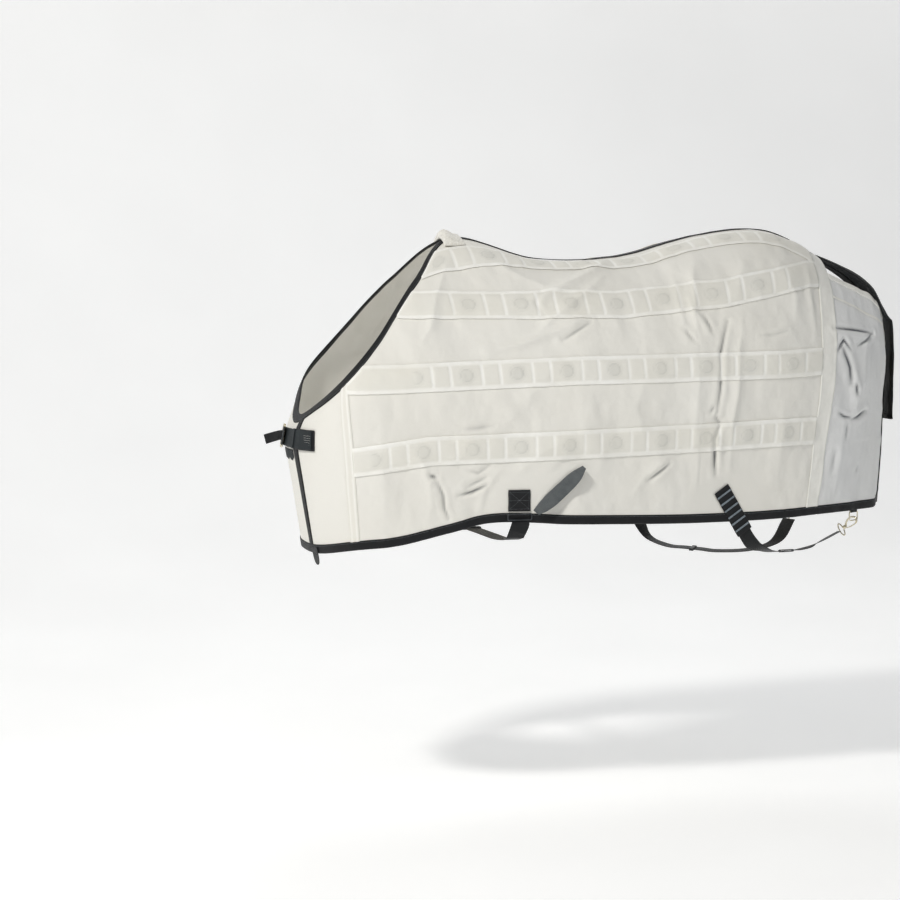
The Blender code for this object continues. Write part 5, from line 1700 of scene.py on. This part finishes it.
def wither_pad():
    n, m = 44, 64
    xs, ys = np.linspace(PAD_FRONT, PAD_REAR, n), np.linspace(-PAD_HALF, PAD_HALF, m)
    low = np.zeros((n, m, 3))
    for i, x in enumerate(xs):
        for j, y in enumerate(ys):
            low[i, j] = (x, y, top_line(x, abs(y)) + PAD_CLEAR)
    u = np.abs(np.linspace(-1, 1, n))[:, None]
    w = np.abs(np.linspace(-1, 1, m))[None, :]
    crown = (1 - u**5) ** 0.5 * (1 - w**6) ** 0.5
    rise = (PAD_THICK + 0.014 * (1 - smooth_step(-0.022, 0.020, xs)))[:, None]
    fluff = lattice_noise(low[..., 0], low[..., 1], 0.006, 0.006, 21)
    fluff = fluff + 0.6 * lattice_noise(low[..., 0], low[..., 1], 0.0028, 0.0028, 22)
    high = 0.0015 + (rise - 0.0030) * (0.25 + 0.75 * crown) + 0.0011 * fluff * np.minimum(crown * 2, 1)
    leans = np.zeros((n, m, 3))
    leans[..., 2] = 1.0
    made = shell("wither_pad_fleece", low, leans, 0.0, high, low[..., :2], fleece, 1, rim=0.25)
    outward(made)
    swell(made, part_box("wither_pad")[0][2])
    seat(made, "sheet", "fleece", "wither_pad")


print("pad block ready")

# %% [markdown]
# ### Pressure
#
# Fleece bulges between its edges. Subdivision would round it evenly. Cloth with pressure inside
# bulges where it is free, and the underside stays where it rests.

# %% Swelling the pad
def swell(pad, bottom):
    """Cloth under pressure rounds the pad. Its underside stays where it rests."""
    remesh = pad.modifiers.new("even", "REMESH")
    remesh.mode, remesh.voxel_size = "VOXEL", 0.0020
    graph = bpy.context.evaluated_depsgraph_get()
    even = bpy.data.meshes.new_from_object(pad.evaluated_get(graph))
    pad.modifiers.clear()
    pad.data = even
    before = np.array([v.co[:] for v in even.vertices])
    cloth = pad.modifiers.new("pressure", "CLOTH")
    cloth.settings.use_pressure = True
    cloth.settings.uniform_pressure_force = 4.0
    cloth.settings.effector_weights.gravity = 0.0
    cloth.settings.quality = 5
    cloth.point_cache.frame_start, cloth.point_cache.frame_end = 1, PRESS_FRAMES
    for step in range(1, PRESS_FRAMES + 1):
        bpy.context.scene.frame_set(step)
    graph = bpy.context.evaluated_depsgraph_get()
    swollen = pad.evaluated_get(graph).to_mesh()
    after = np.array([v.co[:] for v in swollen.vertices])
    pad.evaluated_get(graph).to_mesh_clear()
    pad.modifiers.clear()
    bpy.context.scene.frame_set(1)
    moved = after - before
    length = np.linalg.norm(moved, axis=1, keepdims=True)
    moved *= np.minimum(1.0, MOST_SWELL / np.maximum(length, 1e-9))
    places = np.linspace(PAD_FRONT, PAD_REAR, 30)
    under = np.interp(before[:, 0], places, [top_line(x) for x in places])
    free = smooth_step(0.001, 0.007, before[:, 2] - np.maximum(under - 0.02, bottom))[:, None]
    moved[:, 2] = np.maximum(moved[:, 2], 0.0)
    tufts = lattice_noise(before[:, 0], before[:, 1], 0.0050, 0.0050, 23)
    tufts = tufts + 0.7 * lattice_noise(before[:, 0] + before[:, 2], before[:, 1], 0.0024, 0.0024, 24)
    even.update()
    faces = np.array([v.normal[:] for v in even.vertices])
    points = before + free * (moved + 0.0008 * tufts[:, None] * faces)
    even.vertices.foreach_set("co", points.ravel())
    even.update()
    even.shade_smooth()


wither_pad()
print("wither pad laid")

# %% [markdown]
# ## Stitches
#
# One Geometry Nodes group sews every seam. It places a small rounded stitch at even distances
# along each line, turned to lie flat on the cloth. There are thousands of stitches, so each has
# only a few faces. A bump texture would be cheaper, but it gives no edge to catch the light.

# %% Stitch group
def stitch_group():
    """The Geometry Nodes group, with its sizes and its thread as inputs."""
    group = bpy.data.node_groups.new("stitches_along_lines", "GeometryNodeTree")
    sockets = group.interface
    sockets.new_socket("Geometry", in_out="OUTPUT", socket_type="NodeSocketGeometry")
    sockets.new_socket("Lines", in_out="INPUT", socket_type="NodeSocketGeometry")
    for name, value in (("Spacing", 0.004), ("Length", 0.0029), ("Thickness", 0.0007)):
        sockets.new_socket(name, in_out="INPUT", socket_type="NodeSocketFloat").default_value = value
    sockets.new_socket("Thread", in_out="INPUT", socket_type="NodeSocketMaterial")
    given = add(group, "NodeGroupInput").outputs
    curve = add(group, "GeometryNodeMeshToCurve", {0: given["Lines"]})
    even = add(group, "GeometryNodeResampleCurve", {"Curve": curve.outputs[0], "Length": given["Spacing"]},
               mode="LENGTH")
    tangent = add(group, "GeometryNodeInputTangent")
    lean = add(group, "GeometryNodeInputNamedAttribute", {"Name": "lean"}, data_type="FLOAT_VECTOR")
    turn = add(group, "FunctionNodeAxesToRotation", {0: tangent.outputs[0], 1: lean.outputs[0]},
               primary_axis="X", secondary_axis="Z")
    size = add(group, "ShaderNodeCombineXYZ", {0: given["Length"], 1: given["Thickness"], 2: given["Thickness"]})
    bead = add(group, "GeometryNodeMeshUVSphere", {"Segments": 6, "Rings": 4, "Radius": 0.5})
    # The sphere's poles lie along the stitch, so it is turned before it is scaled.
    lying = add(group, "GeometryNodeTransform", {0: bead.outputs[0], 2: (0.0, math.pi / 2, 0.0)})
    placed_on = add(group, "GeometryNodeInstanceOnPoints", {
        "Points": even.outputs[0], "Instance": lying.outputs[0], "Rotation": turn.outputs[0],
        "Scale": size.outputs[0]})
    real = add(group, "GeometryNodeRealizeInstances", {0: placed_on.outputs[0]})
    done = add(group, "GeometryNodeSetMaterial", {0: real.outputs[0], "Material": given["Thread"]})
    add(group, "NodeGroupOutput", {0: done.outputs[0]})
    return group


STITCHES = stitch_group()


print("stitch group ready")

# %% [markdown]
# ### Sewing a seam
#
# The lines become a mesh of edges, and each point carries the way the cloth faces. The group is
# run on it once, and the result is kept as a plain mesh.

# %% Sewing
def sewn(name, lines, thread, slot="cream_tape", spacing=0.004, length=0.0029, thickness=0.0007):
    """Stitches along lines, each given as points and the way the cloth faces there."""
    points = np.concatenate([line[0] for line in lines])
    leans = np.concatenate([line[1] for line in lines])
    edges, start = [], 0
    for line in lines:
        edges += [(start + k, start + k + 1) for k in range(len(line[0]) - 1)]
        start += len(line[0])
    mesh = bpy.data.meshes.new("route")
    mesh.from_pydata(points.tolist(), edges, [])
    mesh.attributes.new("lean", "FLOAT_VECTOR", "POINT").data.foreach_set("vector", leans.ravel())
    route = bpy.data.objects.new("route", mesh)
    bpy.context.scene.collection.objects.link(route)
    modifier = route.modifiers.new("stitches", "NODES")
    modifier.node_group = STITCHES
    inputs = {item.name: item.identifier for item in STITCHES.interface.items_tree
              if item.in_out == "INPUT"}
    sizes = {"Spacing": spacing, "Length": length, "Thickness": thickness, "Thread": thread}
    for key, value in sizes.items():
        modifier[inputs[key]] = value
    evaluated = route.evaluated_get(bpy.context.evaluated_depsgraph_get())
    stitched = bpy.data.meshes.new_from_object(evaluated)
    stitched.name = name
    bpy.data.objects.remove(route)
    made = bpy.data.objects.new(name, stitched)
    bpy.context.scene.collection.objects.link(made)
    stitched.shade_smooth()
    return seat(made, "sheet", slot)


print("sewing ready")

# %% [markdown]
# ### Seams of the sheet
#
# Channels are sewn along both edging tapes. The binding has one line of stitches near its edge.

# %% Seams
def line_on(side, ss, runs, height):
    """A line of stitches laid on the net: its points and the way the cloth faces."""
    base, leans, folds, _ = lay_out(side, ss, np.asarray(runs, float)[:, None])
    return base[:, 0] + leans[:, 0] * (height + folds[:, 0])[:, None], leans[:, 0]


def channel_lines(side):
    lines = []
    for k in range(4):
        low_x, high_x = (corner[0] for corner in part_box(f"channel_{k}_{tag_of(side)}"))
        ss = columns(arc_of(2.15), arc_of(MAIN_END) - FACING_WIDTH, 0.010)
        upper, lower = row_runs(k, ss)
        upper = np.maximum(upper, edge_taper(ss) + 0.003)
        xs = surf(ss, np.array([np.interp(0.5 * (a + b), rib_runs(s)[0], FINE_V)
                                for s, a, b in zip(ss, upper, lower)]))[:, 0]
        kept = (xs > low_x - 0.10) & (xs < high_x + 0.008) & (lower - upper > 0.022)
        for runs in (upper[kept] + 0.0055, lower[kept] - 0.0055):
            lines.append(line_on(side, ss[kept], runs, 0.0046))
    return lines


def border_lines(side):
    front, end, last = arc_of(FRONT[side]), arc_of(MAIN_END), arc_of(LAST)
    lines = []
    ss = columns(front + 0.003, arc_of(4.9), 0.010)
    lines.append(line_on(side, ss, edge_taper(np.abs(ss)) - 0.002, BIND_HIGH))
    for a, b in ((front + 0.012, end), (end + 0.004, last - 0.004)):
        ss = columns(a, b, 0.012)
        lines.append(line_on(side, ss, hem_run(ss) - 0.0182, BIND_HIGH + 0.0002))
    return lines


for side in (-1, 1):
    sewn("channel_stitches_" + tag_of(side), channel_lines(side), white_thread)
    sewn("border_stitches_" + tag_of(side), border_lines(side), grey_thread, slot="black_binding")


print("long seams sewn")

# %% [markdown]
# ### Stitched patches
#
# Webbing is held by a stitched box with a cross in it, which spreads the pull.

# %% Stitched patches
def box_lines(points, leans, half, inset, height):
    """A stitched box with a cross, on a patch given by its middle line."""
    points, leans = np.asarray(points, float), np.asarray(leans, float)
    along = tangents(points)
    across = unit(np.cross(leans, along))
    lines = []
    for sign in (-1, 1):
        edge = points[1:-1] + sign * (half - inset) * across[1:-1] + height * leans[1:-1]
        lines.append((edge, leans[1:-1]))
    f = np.linspace(-1, 1, 9)[:, None]
    for k in (1, len(points) // 2, -2):
        bar = points[k] + f * (half - inset) * across[k] + height * leans[k]
        lines.append((bar, np.tile(leans[k], (9, 1))))
    g = np.linspace(-1, 1, len(points) - 2)[:, None]
    for sign in (-1, 1):
        slant = points[1:-1] + sign * g * (half - inset) * across[1:-1] + height * leans[1:-1]
        lines.append((slant, leans[1:-1]))
    return lines


found = [on_side(-1, BELLY_AT, z, BELLY_PATCH_LOW + WEB / 2) for z in np.linspace(-0.667, -0.718, 19)]
box = box_lines([p for p, _ in found], [n for _, n in found], BELLY_PATCH_WIDTH / 2, 0.004, WEB / 2 - 0.0001)
sewn("belly_patch_stitches", box, grey_thread, slot="webbing", spacing=0.0032, length=0.0024)
found = [on_chest(run, CHEST_HEIGHT, SEWN_ON_PATCH + WEB / 2) for run in np.linspace(-0.130, -0.106, 11)]
# Five short rows of white stitches, a plain block
rows = [(np.array([p + (0.012 - 0.006 * k) * np.array((0, 0, 1.0)) for p, _ in found]),
         np.array([n for _, n in found])) for k in range(5)]
sewn("chest_patch_stitches", rows, white_thread, slot="webbing", spacing=0.0030, length=0.0022)
print("stitches sewn")

# %% [markdown]
# ## Floor, light and camera
#
# The sheet hangs as it would on the horse, above a pale floor. A large soft lamp stands in front
# on the near side, and a weaker one behind.

# %% Backdrop
FLOOR = -1.55
BEND = 3.0  # the radius of the curve between floor and wall, in metres


def backdrop():
    """A pale floor that curves up into a wall behind the sheet."""
    made, tree, shader = new_material("studio_paper_pale", 0.95)
    pale = tinted(tree, "#F2F2F1", "#EDEDEC", blotches(tree, 1.5, 0.0, 1.0))
    tree.links.new(pale, shader.inputs["Base Color"])
    shader.inputs["Emission Color"].default_value = (1.0, 1.0, 1.0, 1.0)
    shader.inputs["Emission Strength"].default_value = 0.30
    turn = np.linspace(0, math.pi / 2, 13)
    profile = [(-16.0, FLOOR)]
    profile += [(3.0 + BEND * math.sin(t), FLOOR + BEND - BEND * math.cos(t)) for t in turn]
    profile.append((6.0, 9.0))
    points = [(x, y, z) for x in (-14.0, 16.0) for y, z in profile]
    n = len(profile)
    mesh = bpy.data.meshes.new("backdrop")
    mesh.from_pydata(points, [], [(k, k + n, k + n + 1, k + 1) for k in range(n - 1)])
    mesh.materials.append(made)
    mesh.shade_smooth()
    paper = bpy.data.objects.new("backdrop", mesh)
    bpy.context.scene.collection.objects.link(paper)


backdrop()
print("backdrop laid")

# %% [markdown]
# ### Lamps
#
# One large lamp from the front and above gives the folds their shading. A weak one fills the side
# away from it, and one behind lights the edge of the back. Area lamps are used because their soft
# shadows suit white cloth. A small lamp would print hard black lines in each fold.

# %% Three soft lamps
def aim(thing, target):
    """Turns a lamp or camera toward a point, keeping it level."""
    way = np.array(target, float) - np.array(thing.location)
    flat = math.hypot(way[0], way[1])
    thing.rotation_euler = (math.atan2(flat, -way[2]), 0.0, math.atan2(way[0], way[1]) * -1)


def lamp(name, place, target, size, power, colour):
    data = bpy.data.lights.new(name, "AREA")
    data.shape, data.size, data.size_y = "RECTANGLE", size, size * 0.7
    data.energy, data.color = power, colour
    made = bpy.data.objects.new(name, data)
    made.location = place
    aim(made, target)
    bpy.context.scene.collection.objects.link(made)


lamp("key", (-4.2, -3.4, 4.2), (0.4, 0.0, -0.4), 1.0, 310.0, (1.0, 0.985, 0.96))
lamp("fill", (3.4, -5.0, 0.4), (0.4, 0.0, -0.5), 3.2, 24.0, (0.93, 0.96, 1.0))
lamp("back", (1.6, 3.8, 3.4), (0.4, 0.0, -0.3), 2.4, 45.0, (0.95, 0.97, 1.0))
print("lamps hung")

# %% [markdown]
# ### Sky and camera
#
# The sky lights the cloth weakly, so that the lamps keep their shading, but looks nearly white
# where it is seen. One light path node makes that difference. The camera is a long lens, far off.

# %% Sky and camera
world = bpy.data.worlds.new("studio")
world.use_nodes = True
background = world.node_tree.nodes["Background"]
background.inputs[0].default_value = linear("#F4F6F8")
seen = add(world.node_tree, "ShaderNodeLightPath").outputs["Is Camera Ray"]
glow = add(world.node_tree, "ShaderNodeMapRange", {"Value": seen, "To Min": 0.24, "To Max": 0.97})
world.node_tree.links.new(glow.outputs[0], background.inputs[1])
bpy.context.scene.world = world
bpy.context.scene.view_settings.view_transform = "Standard"

lens = bpy.data.cameras.new("camera")
lens.sensor_width, lens.lens = 36.0, 100.4
camera = bpy.data.objects.new("camera", lens)
camera.location = (-2.132, -6.562, 0.022)
aim(camera, (0.0, 0.0, -0.582))
bpy.context.scene.collection.objects.link(camera)
bpy.context.scene.camera = camera
print("camera set")
